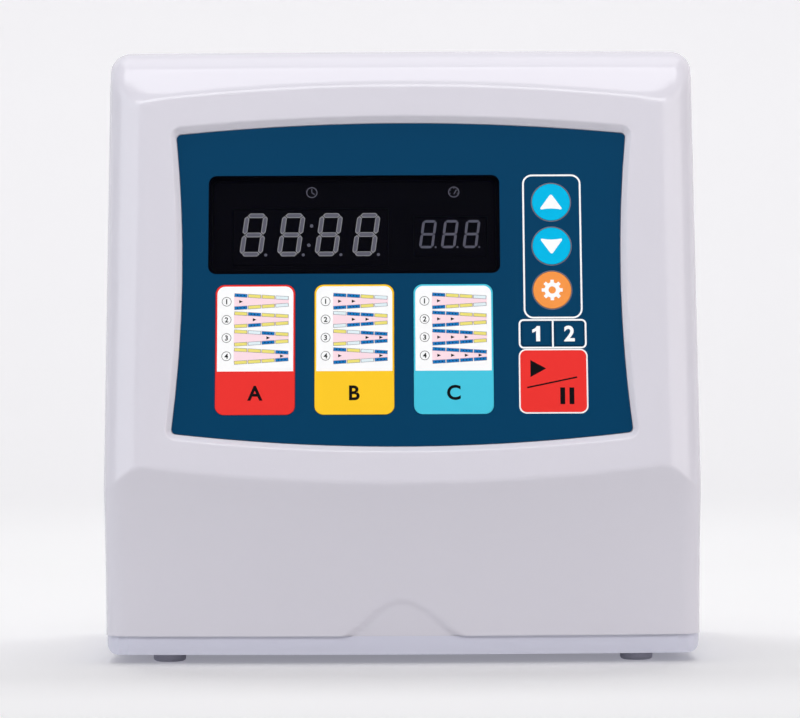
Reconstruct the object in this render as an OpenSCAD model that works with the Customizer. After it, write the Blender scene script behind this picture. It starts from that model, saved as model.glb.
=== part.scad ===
// Compression therapy pump: a desktop air unit with a leaning membrane panel.
// Millimetres. +X is right as seen from the front, +Y is the back, +Z is up.
// The origin is on the table, under the middle of the housing.

/* [Body] */
// Width of the housing
body_w = 274; // [268:2:300]
// Depth of the housing, from the chin to the back
body_d = 190; // [188:2:230]
// Height of the chin, where the lower face meets the bezel
chin_z = 82.9; // [80:0.1:96]
// Height of the brow above the bezel
brow_h = 17.2; // [15:0.1:26]
// Height of the feet below the base
foot_h = 4; // [3:0.5:8]
// Radius of each foot
foot_r = 7.5; // [6:0.5:10]
// Height of the band around the base
band_h = 8.5; // [8:0.5:11]
// Step from the lower face back to the band
band_inset = 1; // [0.8:0.1:2.4]
// Wall of the housing
wall = 2.6; // [2.2:0.1:3]
// Radius of the top corners, seen from the front
corner_r = 9; // [7:0.5:12]
// Rounding from the front faces to the sides and the top
edge_r = 10; // [8:0.5:12]
// Rounding of the rear edges
rear_r = 5; // [3:0.5:6]
// Depth of the rear panel's inner face behind the rear rim
rear_setback = 7; // [6.5:0.5:9]

/* [Bezel] */
// Width of the leaning bezel
bezel_w = 243.2; // [238:0.2:248]
// Length of the bezel up the slope, on the centre line
bezel_h = 188.7; // [186:0.1:200]
// Lean of the bezel from upright
lean = 12; // [9:1:15]
// Slope of the side bevels, away from the bezel
bevel_slope = 25; // [20:1:30]
// Lean of the brow from upright
brow_lean = 39; // [33:1:42]
// Undercut of the lower face at the chin
chin_undercut = 17; // [12:1:19]
// How far the front bows in plan, over half the bezel's width
bow_d = 4.2; // [2.6:0.1:5]

/* [Finger scoop] */
// Half the width of the scoop at the band
scoop_w = 27; // [20:1:36]
// Height of the scoop above the band
scoop_h = 16.3; // [12:0.1:22]

/* [Panel overlay] */
// Width of the overlay at its waist
overlay_w = 201.8; // [201:0.2:206]
// How far the sides flare out towards the corners
overlay_flare = 4.7; // [3:0.1:5.4]
// How much wider, on each side, the overlay is at its foot than at its head
overlay_taper = 1.2; // [0:0.1:2]
// Top edge of the overlay up the slope, at the centre
overlay_top = 170.3; // [168:0.1:173]
// Bottom edge of the overlay up the slope, at the centre
overlay_bottom = 17.6; // [15:0.1:19]
// Drop of the top edge at the corners
overlay_drop = 5.3; // [4:0.1:6.5]
// Rise of the bottom edge at the corners
overlay_rise = 6.3; // [5:0.1:7]
// Corner radius of the overlay
overlay_r = 2; // [1:0.5:5]
// Thickness of the overlay
overlay_t = 0.8; // [0.6:0.1:1.2]
// Depth of the recess down to the overlay's face
recess_d = 2.8; // [2.2:0.1:3.4]

/* [Keys] */
// Width of a mode card
card_w = 36.4; // [33:0.2:38]
// Height of a mode card
card_h = 60.9; // [56:0.1:61.5]
// Spacing of the mode cards
card_pitch = 45.5; // [44:0.5:46]
// Corner radius of a mode card
card_r = 4.1; // [2:0.1:6]
// Radius of the round keys
round_r = 8.7; // [7.5:0.1:9]
// Spacing of the round keys
round_pitch = 20.9; // [20.5:0.1:21.3]
// Width of an outlet key
outlet_key_w = 13; // [11:0.2:13.2]
// Height of an outlet key
outlet_key_h = 11; // [9.4:0.2:11.4]
// Width of the start key
start_w = 30.2; // [26:0.2:32]
// Height of the start key
start_h = 28.8; // [25:0.2:29.2]
// Travel of every key
key_travel = 0.6; // [0.4:0.05:0.7]
// Gap around a key in the overlay
key_gap = 0.2; // [0.1:0.05:0.3]

/* [Display] */
// Width of the display window
window_w = 134.6; // [130:0.2:137]
// Height of the display window
window_h = 46.7; // [44:0.1:49]
// Height of the time digits
time_digit_h = 20.9; // [18:0.1:22]
// Height of the pressure digits
pressure_digit_h = 13.7; // [12:0.1:15]

/* [Air outlets] */
// Side of the square outlet socket
socket_w = 38; // [37:0.5:40]
// Depth of the socket's recess
socket_depth = 16; // [15:0.5:18]
// Spacing of the two sockets, front to back
socket_pitch = 54; // [50:1:58]
// Height of the sockets above the table
socket_z = 58; // [56:1:64]
// Spacing of the nipples in a socket
nipple_pitch = 16; // [15:0.5:17]
// Radius of a nipple
nipple_r = 3; // [2.6:0.1:3.2]
// Length of a nipple
nipple_h = 10; // [8:0.5:10.5]
// Radius of the bore through a nipple
nipple_bore_r = 1.8; // [1.4:0.1:2]

/* [Pump] */
// Depth of the pump
pump_w = 72; // [70:1:74]
// Height of the pump's end walls
pump_h = 66; // [62:1:70]
// Radius of a diaphragm
diaphragm_r = 24; // [22:0.5:25]
// Stroke of the armature, each way
pump_stroke = 1.5; // [1:0.1:2]

/* [Mains and electronics] */
// Height of the mains inlet above the table
inlet_z = 44; // [40:1:50]
// Tilt of the rocker between off and on
rocker_tilt = 20; // [16:1:22]
// Travel of a valve's plunger
plunger_travel = 1.5; // [1:0.1:2]
// Thickness of the circuit boards
board_t = 1.6; // [1.2:0.1:2]

/* [Hidden] */

$fn = 48;
eps = 0.01;

// Colours
housing_colour = [0.87, 0.86, 0.88];
overlay_colour = [0.04, 0.24, 0.38];
red_colour = [0.93, 0.20, 0.18];
yellow_colour = [1.00, 0.80, 0.17];
cyan_colour = [0.28, 0.77, 0.87];
round_colour = [0.00, 0.72, 0.90];
setting_colour = [0.97, 0.60, 0.29];
board_colour = [0.10, 0.36, 0.20];
steel_colour = [0.72, 0.73, 0.75];
copper_colour = [0.72, 0.42, 0.20];
black_colour = [0.10, 0.10, 0.11];
rubber_colour = [0.20, 0.20, 0.21];
foot_colour = [0.60, 0.60, 0.64];
hose_colour = [0.86, 0.88, 0.90];

// Blends where the front faces meet, as the difference in depth over which they round
chin_blend = 0.6;
brow_blend = 1;
side_blend = 2.2;

// Body: heights and depths that follow from the driving sizes
half_w = body_w / 2;
front_y = -body_d / 2 - chin_blend / 4;
back_y = body_d / 2;
base_z = foot_h;
base_top = base_z + band_h;
bezel_half = bezel_w / 2;
brow_z = chin_z + bezel_h * cos(lean);
top_z = brow_z + brow_h;
brow_y = front_y + (brow_z - chin_z) * tan(lean);
lower_h = chin_z - base_top;
inner_x = half_w - wall;
fit_gap = 0.3;
skirt = 6;
skirt_z = base_top - skirt;

// Rear wall: a rolled rim, and a flange that the rear panel seats on
rim_inset = rear_r;
flange_y = back_y - rear_setback;
flange_t = 3;
flange_inset = 14;
rear_t = 2.5;
rear_face = flange_y + rear_t;

// Panel: depths below the bezel plane
overlay_face = -recess_d;
floor_w = overlay_face - overlay_t;
ledge_t = 2.4;
ledge_back = floor_w - ledge_t;
ledge_w = 6;
ledge_lap = 3.5;
backer_t = 1.6;
backer_back = ledge_back - backer_t;
board_gap = 8;
board_front = backer_back - board_gap;
pane_t = 2.5;
pane_seat = 1.6;
pane_gap = 0.1;
window_r = 3.7;
window_x = -21.8;
window_v = 121.95;
display_board_size = [200, 134];
display_board_x = -3;
display_board_v = 91;
board_post_x = display_board_size[0] / 2 - 7;
board_post_v = display_board_size[1] / 2 - 6;

// Keys: places on the panel, as [x, v]
column_x = 69.4;
card_x = -21.75;
card_v = 62.8;
round_v = 111.2;
outlet_key_v = 69.7;
outlet_key_step = 15.2;
outlet_key_r = 1;
start_v = 47.5;
start_r = 2.8;
key_proud = 0.2;
key_flange = 0.6;
key_flange_t = 0.8;
key_rest_gap = 0.05;
pocket_gap = 0.2;
post_r = 1.5;
switch_w = 6;
switch_h = 4.3;
switch_engage = 0.4;
post_end = board_front + switch_h - switch_engage;
key_places = [
    [card_x - card_pitch, card_v], [card_x, card_v], [card_x + card_pitch, card_v],
    [column_x, round_v + round_pitch], [column_x, round_v], [column_x, round_v - round_pitch],
    [column_x - outlet_key_step / 2, outlet_key_v], [column_x + outlet_key_step / 2, outlet_key_v],
    [column_x, start_v]];

// Seven-segment modules
time_x = -42;
time_pitch = 17.4;
pressure_x = 22.8;
pressure_pitch = 10.1;
digit_v = 116.9;
digit_slant = 8;
digit_raise = 0.2;
display_face = floor_w - pane_t - 0.5;

// Screws
screw_r = 1.5;
screw_hole_r = 1.6;
screw_head_r = 2.9;
screw_head_t = 2;
small_screw_r = 1.2;
small_hole_r = 1.25;
small_head_t = 1.6;

// Tray, its pads and the housing's lugs
tray_floor_t = 3;
tray_wall = 3;
tray_inset = 0.4;
tray_edge_r = 5.4;
floor_z = base_z + tray_floor_t;
pad_r = 5;
lug_w = 14;
lug_d = 12;
lug_h = 20;
lug_x = inner_x - lug_w / 2;
lug_front_y = front_y + 44;
lug_rear_y = flange_y - 12;
base_screw_l = 16;
rear_screw_l = rear_t + flange_t + 0.5;
foot_x = half_w - 29;
foot_front_y = front_y + 30;
foot_rear_y = back_y - 20;
foot_recess = 1;
foot_stem_r = 2.5;

// Pump: its length follows the room beside the manifold
manifold_inset = 53;
manifold_w = 20;
side_gap = 10;
pump_l = 2 * (half_w - manifold_inset - manifold_w / 2 - side_gap);
pump_y = 30;
mount_h = 12;
mount_r = 7;
mount_neck_r = 3;
pump_z = floor_z + mount_h;
plate_t = 2.5;
plate_z = pump_z + plate_t;
end_wall_t = 4;
head_t = 14;
diaphragm_t = 2;
head_w = 2 * diaphragm_r + 8;
pump_axis_z = plate_z + pump_h / 2;
end_x = pump_l / 2 - head_t - diaphragm_t;
piston_r = 12;
rod_r = 3.5;
diaphragm_gap = 0.3;
core_gap = 1.5;
magnet = [40, 14, 30];
core = [44, 18, 44];
yoke_t = 4;
core_leg = 13;
core_slot = 9;
coil_clear = 0.3;
core_y = magnet[1] / 2 + core_gap + core[1] / 2;
coil_t = 12;
coil_over = 9;
nozzle_y = 16;
nozzle_r = 4;
nozzle_l = 14;
nozzle_bore_r = 2.4;
filter_gap = 2;
filter_clear = 4;
filter = [60, flange_y - filter_clear - pump_y - pump_w / 2 - filter_gap, 56];

// Air
socket_flange_t = 1.2;
socket_floor_t = 2.6;
socket_y = -5;
socket_face = half_w - socket_flange_t;
socket_body = socket_w - 4;
socket_wall = 2;
barb_l = 8;
manifold_x = half_w - manifold_inset;
manifold_h = 34;
manifold_l = 2 * socket_pitch + 2;
manifold_foot = [12, 12];
manifold_top = socket_z + manifold_h / 2;
hose_r = 4.4;
hose_bore_r = nipple_r + 0.05;
supply_r = 5.5;
supply_bore_r = nozzle_r + 0.05;
supply_bend = 12;
valve_pitch = 22.5;
valve_y = socket_y - 8;
valve_r = 11;
valve_h = 26;
valve_pocket = 6;
plunger_r = 4;
plunger_l = 15;
plunger_pin = 4;
coil_cap = 6;
valve_lead_z = 15;

// Electronics
trafo_x = -half_w + 47;
trafo_y = front_y + 61.5;
trafo = [58, 48, 50];
trafo_leg = 20;
trafo_window = 9;
trafo_foot = 7;
strap_t = 2;
strap_w = 22;
board_size = [104, 58];
board_x = trafo_x + (trafo[0] + board_size[0]) / 2 + trafo_foot;
board_y = front_y + 47;
board_z = floor_z + 8;
board_top = board_z + board_t;
sensor_at = [31, 2];
sensor_h = 12;
heat_sink_h = 24;
header_x = board_size[0] / 2 - 14;
header_h = 9;
relay_h = 14;

// Mains: places in the inlet's own frame
inlet_x = -half_w + 39;
inlet_body = [28, 36, 22];
inlet_flange = [50, 40, 2];
cavity = [24.6, 16.6, 15.5];
cavity_y = -7;
blade = [2, 4, 14];
drawer = [22, 9, 14];
drawer_y = 11;
drawer_gap = 0.3;
fuse_r = 2.6;
fuse_l = 20;
switch_z = inlet_z + 46;
switch_body = [19, 27, 18];
switch_well = [15.4, 23.4, 12];
rocker_w = 15;
rocker_half = 10.2;
rocker_pivot = -3.6;

// ---------- Points of the moulded shell ----------

// Counts of segments along half of a ring
n_edge = 12;
n_corner = 4;
n_side = 8;
n_low = 8;
n_top = 7;

// Smooth maximum of two depths, blended where they differ by less than k
function smax(a, b, k) = max(a, b) + pow(max(k - abs(a - b), 0), 2) / (4 * k);

// Plan bow of the front at x
function bow(x) = bow_d * pow(x / bezel_half, 2);

// Drop of the lower face behind the chin, h below it: undercut there, upright at the band
function undercut(h) = tan(chin_undercut) * (h < 0 ? h : h - h * h / (2 * lower_h));

// Inset of a point from the sides and the top of the front outline
function inset(x, z) =
    let (qx = abs(x) - (half_w - corner_r), qz = z - (top_z - corner_r))
    corner_r - norm([max(qx, 0), max(qz, 0)]) - min(max(qx, qz), 0);

// Quarter-round depth at inset e
function roll(e, r) = e >= r ? 0 : r - sqrt(r * r - pow(r - max(e, 0), 2));

// Depth of the four front faces at (x, z), blended at the creases
function faces_y(x, z) =
    let (
        bezel = front_y + (z - chin_z) * tan(lean),
        side = bezel + tan(bevel_slope) * (abs(x) - bezel_half),
        lower = front_y + bow(x) + undercut(chin_z - z),
        brow = brow_y + bow(x) + (z - brow_z) * tan(brow_lean))
    smax(smax(smax(bezel, side, side_blend), lower, chin_blend), brow, brow_blend);

function outer_y(x, z) = faces_y(x, z) + roll(inset(x, z), edge_r);

function inner_y(x, z) = faces_y(x, z) + wall + roll(inset(x, z) - wall, edge_r - wall);

// Heights where the side bevels' mitres reach the sides
bevel_d = tan(bevel_slope) * (half_w - bezel_half) - bow(half_w);
mitre_low = chin_z - bevel_d / (tan(lean) + tan(chin_undercut));
mitre_high = brow_z + bevel_d / (tan(brow_lean) - tan(lean));

// Half of a ring around the panel, from the bottom centre up to the top centre.
// f = [waist, flare, bottom, rise, top, drop, bottom radius, top radius, taper]
function flare_at(f, v) =
    let (t = (2 * v - f[2] - f[4]) / (f[4] - f[2]))
    f[0] + f[1] * t * t - f[8] / 2 * t;

function half_ring(f) =
    let (
        rb = f[6], rt = f[7],
        xb = flare_at(f, f[2] + f[3] + rb) - rb,
        xt = flare_at(f, f[4] - f[5] - rt) - rt,
        vb = f[2] + f[3] * pow(xb / (xb + rb), 2) + rb,
        vt = f[4] - f[5] * pow(xt / (xt + rt), 2) - rt)
    concat(
        [for (i = [0:n_edge]) let (x = xb * i / n_edge)
            [x, f[2] + f[3] * pow(x / (xb + rb), 2)]],
        [for (i = [1:n_corner]) let (a = 90 * i / n_corner - 90)
            [xb + rb * cos(a), vb + rb * sin(a)]],
        [for (i = [1:n_side]) let (v = vb + (vt - vb) * i / n_side)
            [flare_at(f, v), v]],
        [for (i = [1:n_corner]) let (a = 90 * i / n_corner)
            [xt + rt * cos(a), vt + rt * sin(a)]],
        [for (i = [1:n_edge]) let (x = xt * (n_edge - i) / n_edge)
            [x, f[4] - f[5] * pow(x / (xt + rt), 2)]]);

// Half of a ring on the housing's outline, shrunk by g. Its points are shared out so that
// each lies opposite the point of the bezel's crease that a mitre or an edge leads to.
function half_outline(g) =
    let (
        w = half_w - g,
        top = top_z - g,
        bottom = skirt_z + 0.3 * g,
        r = max(corner_r - g, 2),
        low = mitre_low - n_corner / 2,
        high = min(mitre_high + n_corner / 2, top - r - 0.5),
        arc = n_edge - n_top)
    concat(
        [for (i = [0:n_low]) [w * i / n_low, bottom]],
        [for (i = [1:n_edge - n_low]) [w, bottom + (low - bottom) * i / (n_edge - n_low)]],
        [for (i = [1:n_corner]) [w, low + i]],
        [for (i = [1:n_side]) [w, low + n_corner + (high - 2 * n_corner - low) * i / n_side]],
        [for (i = [1:n_corner]) [w, high - n_corner + i]],
        [for (i = [1:arc]) let (a = 90 * i / arc) [w - r + r * cos(a), top - r + r * sin(a)]],
        [for (i = [1:n_top]) [(w - r) * (n_top - i) / n_top, top]]);

function full(h) = concat(h, [for (i = [len(h) - 2:-1:1]) [-h[i][0], h[i][1]]]);

// Form of the overlay's outline, grown by g
function overlay_form(g) = [overlay_w / 2 + g, overlay_flare, overlay_bottom - g, overlay_rise,
    overlay_top + g, overlay_drop, max(overlay_r + g, 0.5), max(overlay_r + g, 0.5),
    overlay_taper];

// Form of the bezel's crease in front view, shrunk by g
crease_r = 6.5;
function crease_form(g) = [bezel_half - g, 0,
    chin_z + g, bow_d / (tan(lean) + tan(chin_undercut)),
    brow_z - g, bow_d / (tan(brow_lean) - tan(lean)),
    crease_r - g / 2, crease_r - g / 2, 0];

// A point up the slope v and outward w of the bezel plane
function on_bezel(x, v, w) = [x, front_y + v * sin(lean) - w * cos(lean),
    chin_z + v * cos(lean) + w * sin(lean)];

function panel_ring(g, w) = [for (p = full(half_ring(overlay_form(g)))) on_bezel(p[0], p[1], w)];
function flat_ring(g, y) = [for (p = full(half_outline(g))) [p[0], y, p[1]]];
function mix(a, b, t) = [for (i = [0:len(a) - 1]) a[i] + (b[i] - a[i]) * t];
function outer_ring(q) = [for (p = q) [p[0], outer_y(p[0], p[1]), p[1]]];
function inner_ring(q) = [for (p = q) [p[0], inner_y(p[0], p[1]), p[1]]];

outer_steps = [0, 0.07, 0.18, 0.32, 0.48, 0.63, 0.76, 0.87, 0.94, 0.985, 1];
inner_steps = [1, 0.92, 0.7, 0.35, 0];

// Rings of the shell: out over the front, round the rear rim and back along the inside
function shell_rings() =
    let (
        crease = full(half_ring(crease_form(0))),
        crease_in = full(half_ring(crease_form(wall))),
        outline = full(half_outline(0)),
        outline_in = full(half_outline(wall)))
    concat(
        [panel_ring(-ledge_w, floor_w), panel_ring(fit_gap, floor_w),
            panel_ring(fit_gap, overlay_face), panel_ring(fit_gap + recess_d, 0),
            outer_ring(full(half_ring(crease_form(2))))],
        [for (t = outer_steps) outer_ring(mix(crease, outline, t))],
        [for (a = [0:30:90]) flat_ring(rim_inset * (1 - cos(a)), back_y - rear_r * (1 - sin(a)))],
        [flat_ring(rim_inset, flange_y), flat_ring(flange_inset, flange_y),
            flat_ring(flange_inset, flange_y - flange_t),
            flat_ring(wall, flange_y - flange_t - 6)],
        [for (t = inner_steps) inner_ring(mix(crease_in, outline_in, t))],
        [panel_ring(fit_gap + recess_d + wall, -wall),
            panel_ring(fit_gap + wall, ledge_back), panel_ring(-ledge_w, ledge_back)]);

// Triangles between each ring and the next, and from the last ring to the first
module ring_shell(rings) {
    n = len(rings[0]);
    k = len(rings);
    points = [for (r = rings, p = r) p];
    faces = [for (j = [0:k - 1], i = [0:n - 1])
        let (a = j * n + i, b = j * n + (i + 1) % n,
            c = ((j + 1) % k) * n + i, d = ((j + 1) % k) * n + (i + 1) % n)
        each [[a, b, d], [a, d, c]]];
    polyhedron(points, faces, convexity = 8);
}

// ---------- Small shared shapes ----------

// Local X across, Y up the slope and Z outward, at a place on the panel
module on_panel(x = 0, v = 0, w = 0) {
    translate(on_bezel(x, v, w)) rotate([90 - lean, 0, 0]) children();
}

// Rounded rectangle with true arcs
module rounded(w, h, r) {
    square([w - 2 * r, h], center = true);
    square([w, h - 2 * r], center = true);
    for (x = [-1, 1], y = [-1, 1])
        translate([x * (w / 2 - r), y * (h / 2 - r)]) circle(r);
}

module slab(w, h, r, t) {
    linear_extrude(t) rounded(w, h, r);
}

// Slot with round ends, length l over all
module slot(l, w, t) {
    linear_extrude(t) {
        square([l - w, w], center = true);
        for (s = [-1, 1]) translate([s * (l - w) / 2, 0]) circle(w / 2);
    }
}

module tube(r, bore, h) {
    difference() {
        cylinder(r = r, h = h);
        translate([0, 0, -1]) cylinder(r = bore, h = h + 2);
    }
}

// A lead along straight runs that lap at the elbows
module lead(points, r) {
    lap = r / 2;
    for (i = [0:len(points) - 2]) {
        a = points[i];
        d = points[i + 1] - a;
        l = norm(d);
        u = i > 0 ? lap : 0;
        v = i < len(points) - 2 ? lap : 0;
        translate(a) rotate([0, acos(d[2] / l), atan2(d[1], d[0])]) translate([0, 0, -u])
            cylinder(r = r, h = l + u + v, $fn = 12);
    }
}

// Flat strip of thickness t along 2D points, with round elbows
module strip(points, t) {
    for (i = [0:len(points) - 2]) {
        a = points[i];
        d = points[i + 1] - a;
        translate(a) rotate(atan2(d[1], d[0])) translate([0, -t / 2]) square([norm(d), t]);
    }
    for (i = [1:1:len(points) - 2]) translate(points[i]) circle(t / 2);
}

// Quarter bend of a hose in the XZ plane: up from the origin and round to +X
module bend(r, bend_r) {
    translate([bend_r, 0, 0]) rotate([90, 0, 0]) rotate([0, 0, 90])
        rotate_extrude(angle = 90) translate([bend_r, 0]) circle(r);
}

// A screw whose head's top is at the origin and whose shank runs to -Z
module screw(l) {
    difference() {
        translate([0, 0, -screw_head_t]) cylinder(r = screw_head_r, h = screw_head_t);
        translate([0, 0, -1]) cylinder(r = 1.2, h = 2, $fn = 6);
    }
    translate([0, 0, -screw_head_t - l]) cylinder(r = screw_r, h = l + eps);
}

// A board screw whose head sits on the board at the origin, its shank through and below it
module small_screw(l) {
    cylinder(r = 2.4, h = small_head_t);
    translate([0, 0, -board_t - l]) cylinder(r = small_screw_r, h = board_t + l + eps);
}

// ---------- Places ----------

module at_lugs() {
    for (x = [-1, 1], y = [lug_front_y, lug_rear_y])
        translate([x * lug_x, y, 0]) children();
}

module at_feet() {
    for (x = [-foot_x, foot_x], y = [foot_front_y, foot_rear_y]) translate([x, y, 0]) children();
}

module at_rear_screws() {
    mid = (rim_inset + flange_inset) / 2;
    for (s = [-1, 1], z = [top_z - mid, (top_z - mid + base_top) / 2, base_top + 26])
        translate([s * (half_w - mid), flange_y, z]) rotate([-90, 0, 0]) children();
}

module at_board_posts(w) {
    for (x = [-1, 1], v = [-1, 1])
        on_panel(display_board_x + x * board_post_x, display_board_v + v * board_post_v, w)
            children();
}

module at_board_corners() {
    for (x = [-1, 1], y = [-1, 1])
        translate([board_x + x * (board_size[0] / 2 - 4), board_y + y * (board_size[1] / 2 - 4), 0])
            children();
}

module at_pump() {
    translate([0, pump_y, pump_axis_z]) children();
}

module at_mounts() {
    for (x = [-1, 1], y = [-1, 1])
        translate([x * (end_x - 14), pump_y + y * (pump_w / 2 - 9), 0]) children();
}

module at_socket(i) {
    translate([socket_face, socket_y + (i - 1.5) * socket_pitch, socket_z])
        rotate([0, 90, 0]) children();
}

module at_nipples() {
    for (x = [-1, 1], y = [-1, 1])
        translate([x * nipple_pitch / 2, y * nipple_pitch / 2, 0]) children();
}

module at_valve(i) {
    translate([manifold_x, valve_y + (i - 2.5) * valve_pitch, manifold_top]) children();
}

// The frame of a piece in the rear panel: X to the left of the front view, Y up, Z to the back
module at_rear(z) {
    translate([inlet_x, rear_face, z]) rotate([90, 0, 180]) children();
}

// ---------- Housing ----------

// Outline of the bell-shaped scoop, x against height
module bell() {
    n = 12;
    polygon(concat(
        [for (i = [-n:n]) [scoop_w * i / n, base_top + scoop_h * pow(cos(90 * i / n), 1.4)]],
        [[scoop_w, base_top - 1], [-scoop_w, base_top - 1]]));
}

// Plan of the housing at the top of the band, shrunk by g at the sides and back, d at the front
module plan(g, d) {
    n = 16;
    w = half_w - g;
    front = [for (i = [-n:n]) let (x = w * sin(90 * i / n))
        [x, outer_y(x * (half_w - eps) / w, base_top) + d]];
    back = back_y - g;
    difference() {
        polygon(concat(front, [[w, back], [-w, back]]));
        for (s = [-1, 1]) translate([s * (w - rear_r), back - rear_r]) difference() {
            translate([s > 0 ? 0 : -rear_r - 1, 0]) square(rear_r + 1);
            circle(rear_r);
        }
    }
}

module top_housing() color(housing_colour) {
    difference() {
        union() {
            ring_shell(shell_rings());
            // lugs for the base screws
            at_lugs() translate([-lug_w / 2 - 1, -lug_d / 2, base_top])
                cube([lug_w + 2, lug_d, lug_h]);
        }
        // open underside
        translate([-body_w, front_y - 20, base_top - 30]) cube([2 * body_w, body_d + 40, 30]);
        // finger scoop: a ramp that falls back to the band
        intersection() {
            translate([0, front_y + 40, 0]) rotate([90, 0, 0]) linear_extrude(60) bell();
            translate([0, front_y + undercut(lower_h) + band_inset, base_top])
                rotate([atan((band_inset + 0.6) / scoop_h), 0, 0])
                translate([-60, -40, -10]) cube([120, 40, 60]);
        }
        // screw holes
        at_lugs() translate([0, 0, base_top - 1]) cylinder(r = screw_hole_r, h = lug_h - 3);
        at_rear_screws() translate([0, 0, -flange_t - 1])
            cylinder(r = screw_hole_r, h = flange_t + 2);
        // outlet sockets, each let in flush
        for (i = [1, 2]) at_socket(i) {
            translate([0, 0, -2 * wall])
                slab(socket_body + 2 * fit_gap, socket_body + 2 * fit_gap, 3, 4 * wall);
            slab(socket_w + 2 * fit_gap, socket_w + 2 * fit_gap, 4, wall);
        }
    }
}

module base_tray() color(housing_colour) {
    side = half_w - tray_inset;
    difference() {
        intersection() {
            translate([0, 0, base_z]) linear_extrude(band_h) plan(tray_inset, band_inset);
            // rounded lower edges, seen from the front
            translate([0, back_y + 10, base_z]) rotate([90, 0, 0])
                linear_extrude(body_d + 20) {
                    translate([-half_w, tray_edge_r]) square([body_w, band_h]);
                    translate([-side + tray_edge_r, 0])
                        square([2 * (side - tray_edge_r), band_h]);
                    for (s = [-1, 1])
                        translate([s * (side - tray_edge_r), tray_edge_r]) circle(tray_edge_r);
                }
        }
        // hollow, with a wall left all round
        translate([0, 0, floor_z]) linear_extrude(band_h)
            plan(tray_inset + tray_wall, band_inset + tray_wall);
        // seats and holes for the feet
        at_feet() {
            translate([0, 0, base_z - 1]) cylinder(r = foot_r + 0.1, h = foot_recess + 1);
            translate([0, 0, base_z]) cylinder(r = foot_stem_r + 0.1, h = 10);
        }
        // base screws, sunk from below
        at_lugs() {
            translate([0, 0, base_z - 1]) cylinder(r = screw_hole_r, h = 20);
            translate([0, 0, base_z - 1]) cylinder(r = screw_head_r + 0.3, h = 1 + screw_head_t);
        }
        // vent slots under the pump
        for (i = [-2:2])
            translate([i * 9, pump_y, base_z - 1]) rotate(90) slot(50, 4, tray_floor_t + 2);
    }
    // pads that meet the housing's lugs
    at_lugs() translate([0, 0, floor_z - eps]) tube(pad_r, screw_hole_r, base_top - floor_z + eps);
    // posts under the main board
    at_board_corners() translate([0, 0, floor_z - eps])
        tube(3, small_hole_r, board_z - floor_z + eps);
    // tongue behind the rear panel's lower edge
    translate([-half_w + flange_inset + 4, flange_y - tray_wall - fit_gap, floor_z - eps])
        cube([body_w - 2 * flange_inset - 8, tray_wall, band_h + 3]);
}

module rubber_feet() color(foot_colour) {
    at_feet() rotate_extrude() polygon([[0, 0], [foot_r - 1.2, 0], [foot_r - 0.4, 0.4],
        [foot_r, 1.2], [foot_r, foot_h + foot_recess], [foot_stem_r, foot_h + foot_recess],
        [foot_stem_r, floor_z + 0.5], [foot_stem_r - 0.7, floor_z + 1.5], [0, floor_z + 1.5]]);
}

module base_screws() color(steel_colour) {
    at_lugs() translate([0, 0, base_z]) rotate([180, 0, 0]) screw(base_screw_l);
}

module rear_panel() color(housing_colour) {
    w = body_w - 2 * (rim_inset + fit_gap);
    z0 = base_top + fit_gap;
    z1 = top_z - rim_inset - fit_gap;
    difference() {
        translate([0, rear_face, (z0 + z1) / 2]) rotate([90, 0, 0]) slab(w, z1 - z0, 3, rear_t);
        at_rear_screws() translate([0, 0, -1]) cylinder(r = screw_hole_r, h = rear_t + 2);
        translate([0, rear_face + 1, 0]) rotate([90, 0, 0]) {
            // upper vent, two columns of slots
            for (s = [-1, 1], i = [0:8])
                translate([s * 52, top_z - 50 - i * 9, 0]) slot(88, 4, rear_t + 2);
            // lower vent beside the intake filter
            for (i = [0:6])
                translate([44, base_top + 22 + i * 9, 0]) slot(120, 4, rear_t + 2);
        }
        // cut-outs for the mains inlet and the switch
        at_rear(inlet_z) translate([0, 0, -rear_t - 1]) {
            linear_extrude(rear_t + 2)
                square([inlet_body[0] + 2 * fit_gap, inlet_body[1] + 2 * fit_gap], center = true);
            at_rivets() cylinder(r = screw_hole_r, h = rear_t + 2);
        }
        at_rear(switch_z) translate([0, 0, -rear_t - 1]) linear_extrude(rear_t + 2)
            square([switch_body[0] + 2 * fit_gap, switch_body[1] + 2 * fit_gap], center = true);
    }
}

module rear_screws() color(steel_colour) {
    at_rear_screws() translate([0, 0, rear_t + screw_head_t]) screw(rear_screw_l);
}

// ---------- Panel ----------

module panel_plate(g, w0, w1) {
    on_panel(0, 0, w0) linear_extrude(w1 - w0) polygon(full(half_ring(overlay_form(g))));
}

module key_outline(i, g = 0) {
    if (i < 3) rounded(card_w + 2 * g, card_h + 2 * g, card_r + g);
    else if (i < 6) circle(round_r + g);
    else if (i < 8) rounded(outlet_key_w + 2 * g, outlet_key_h + 2 * g, outlet_key_r + g);
    else rounded(start_w + 2 * g, start_h + 2 * g, start_r + g);
}

module panel_overlay() color(overlay_colour) difference() {
    panel_plate(0, floor_w, overlay_face);
    for (i = [0:8]) on_panel(key_places[i][0], key_places[i][1], floor_w - 1)
        linear_extrude(overlay_t + 2) key_outline(i, key_gap);
    on_panel(window_x, window_v, floor_w - 1)
        slab(window_w + 2 * pane_gap, window_h + 2 * pane_gap, window_r + pane_gap, overlay_t + 2);
}

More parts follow.
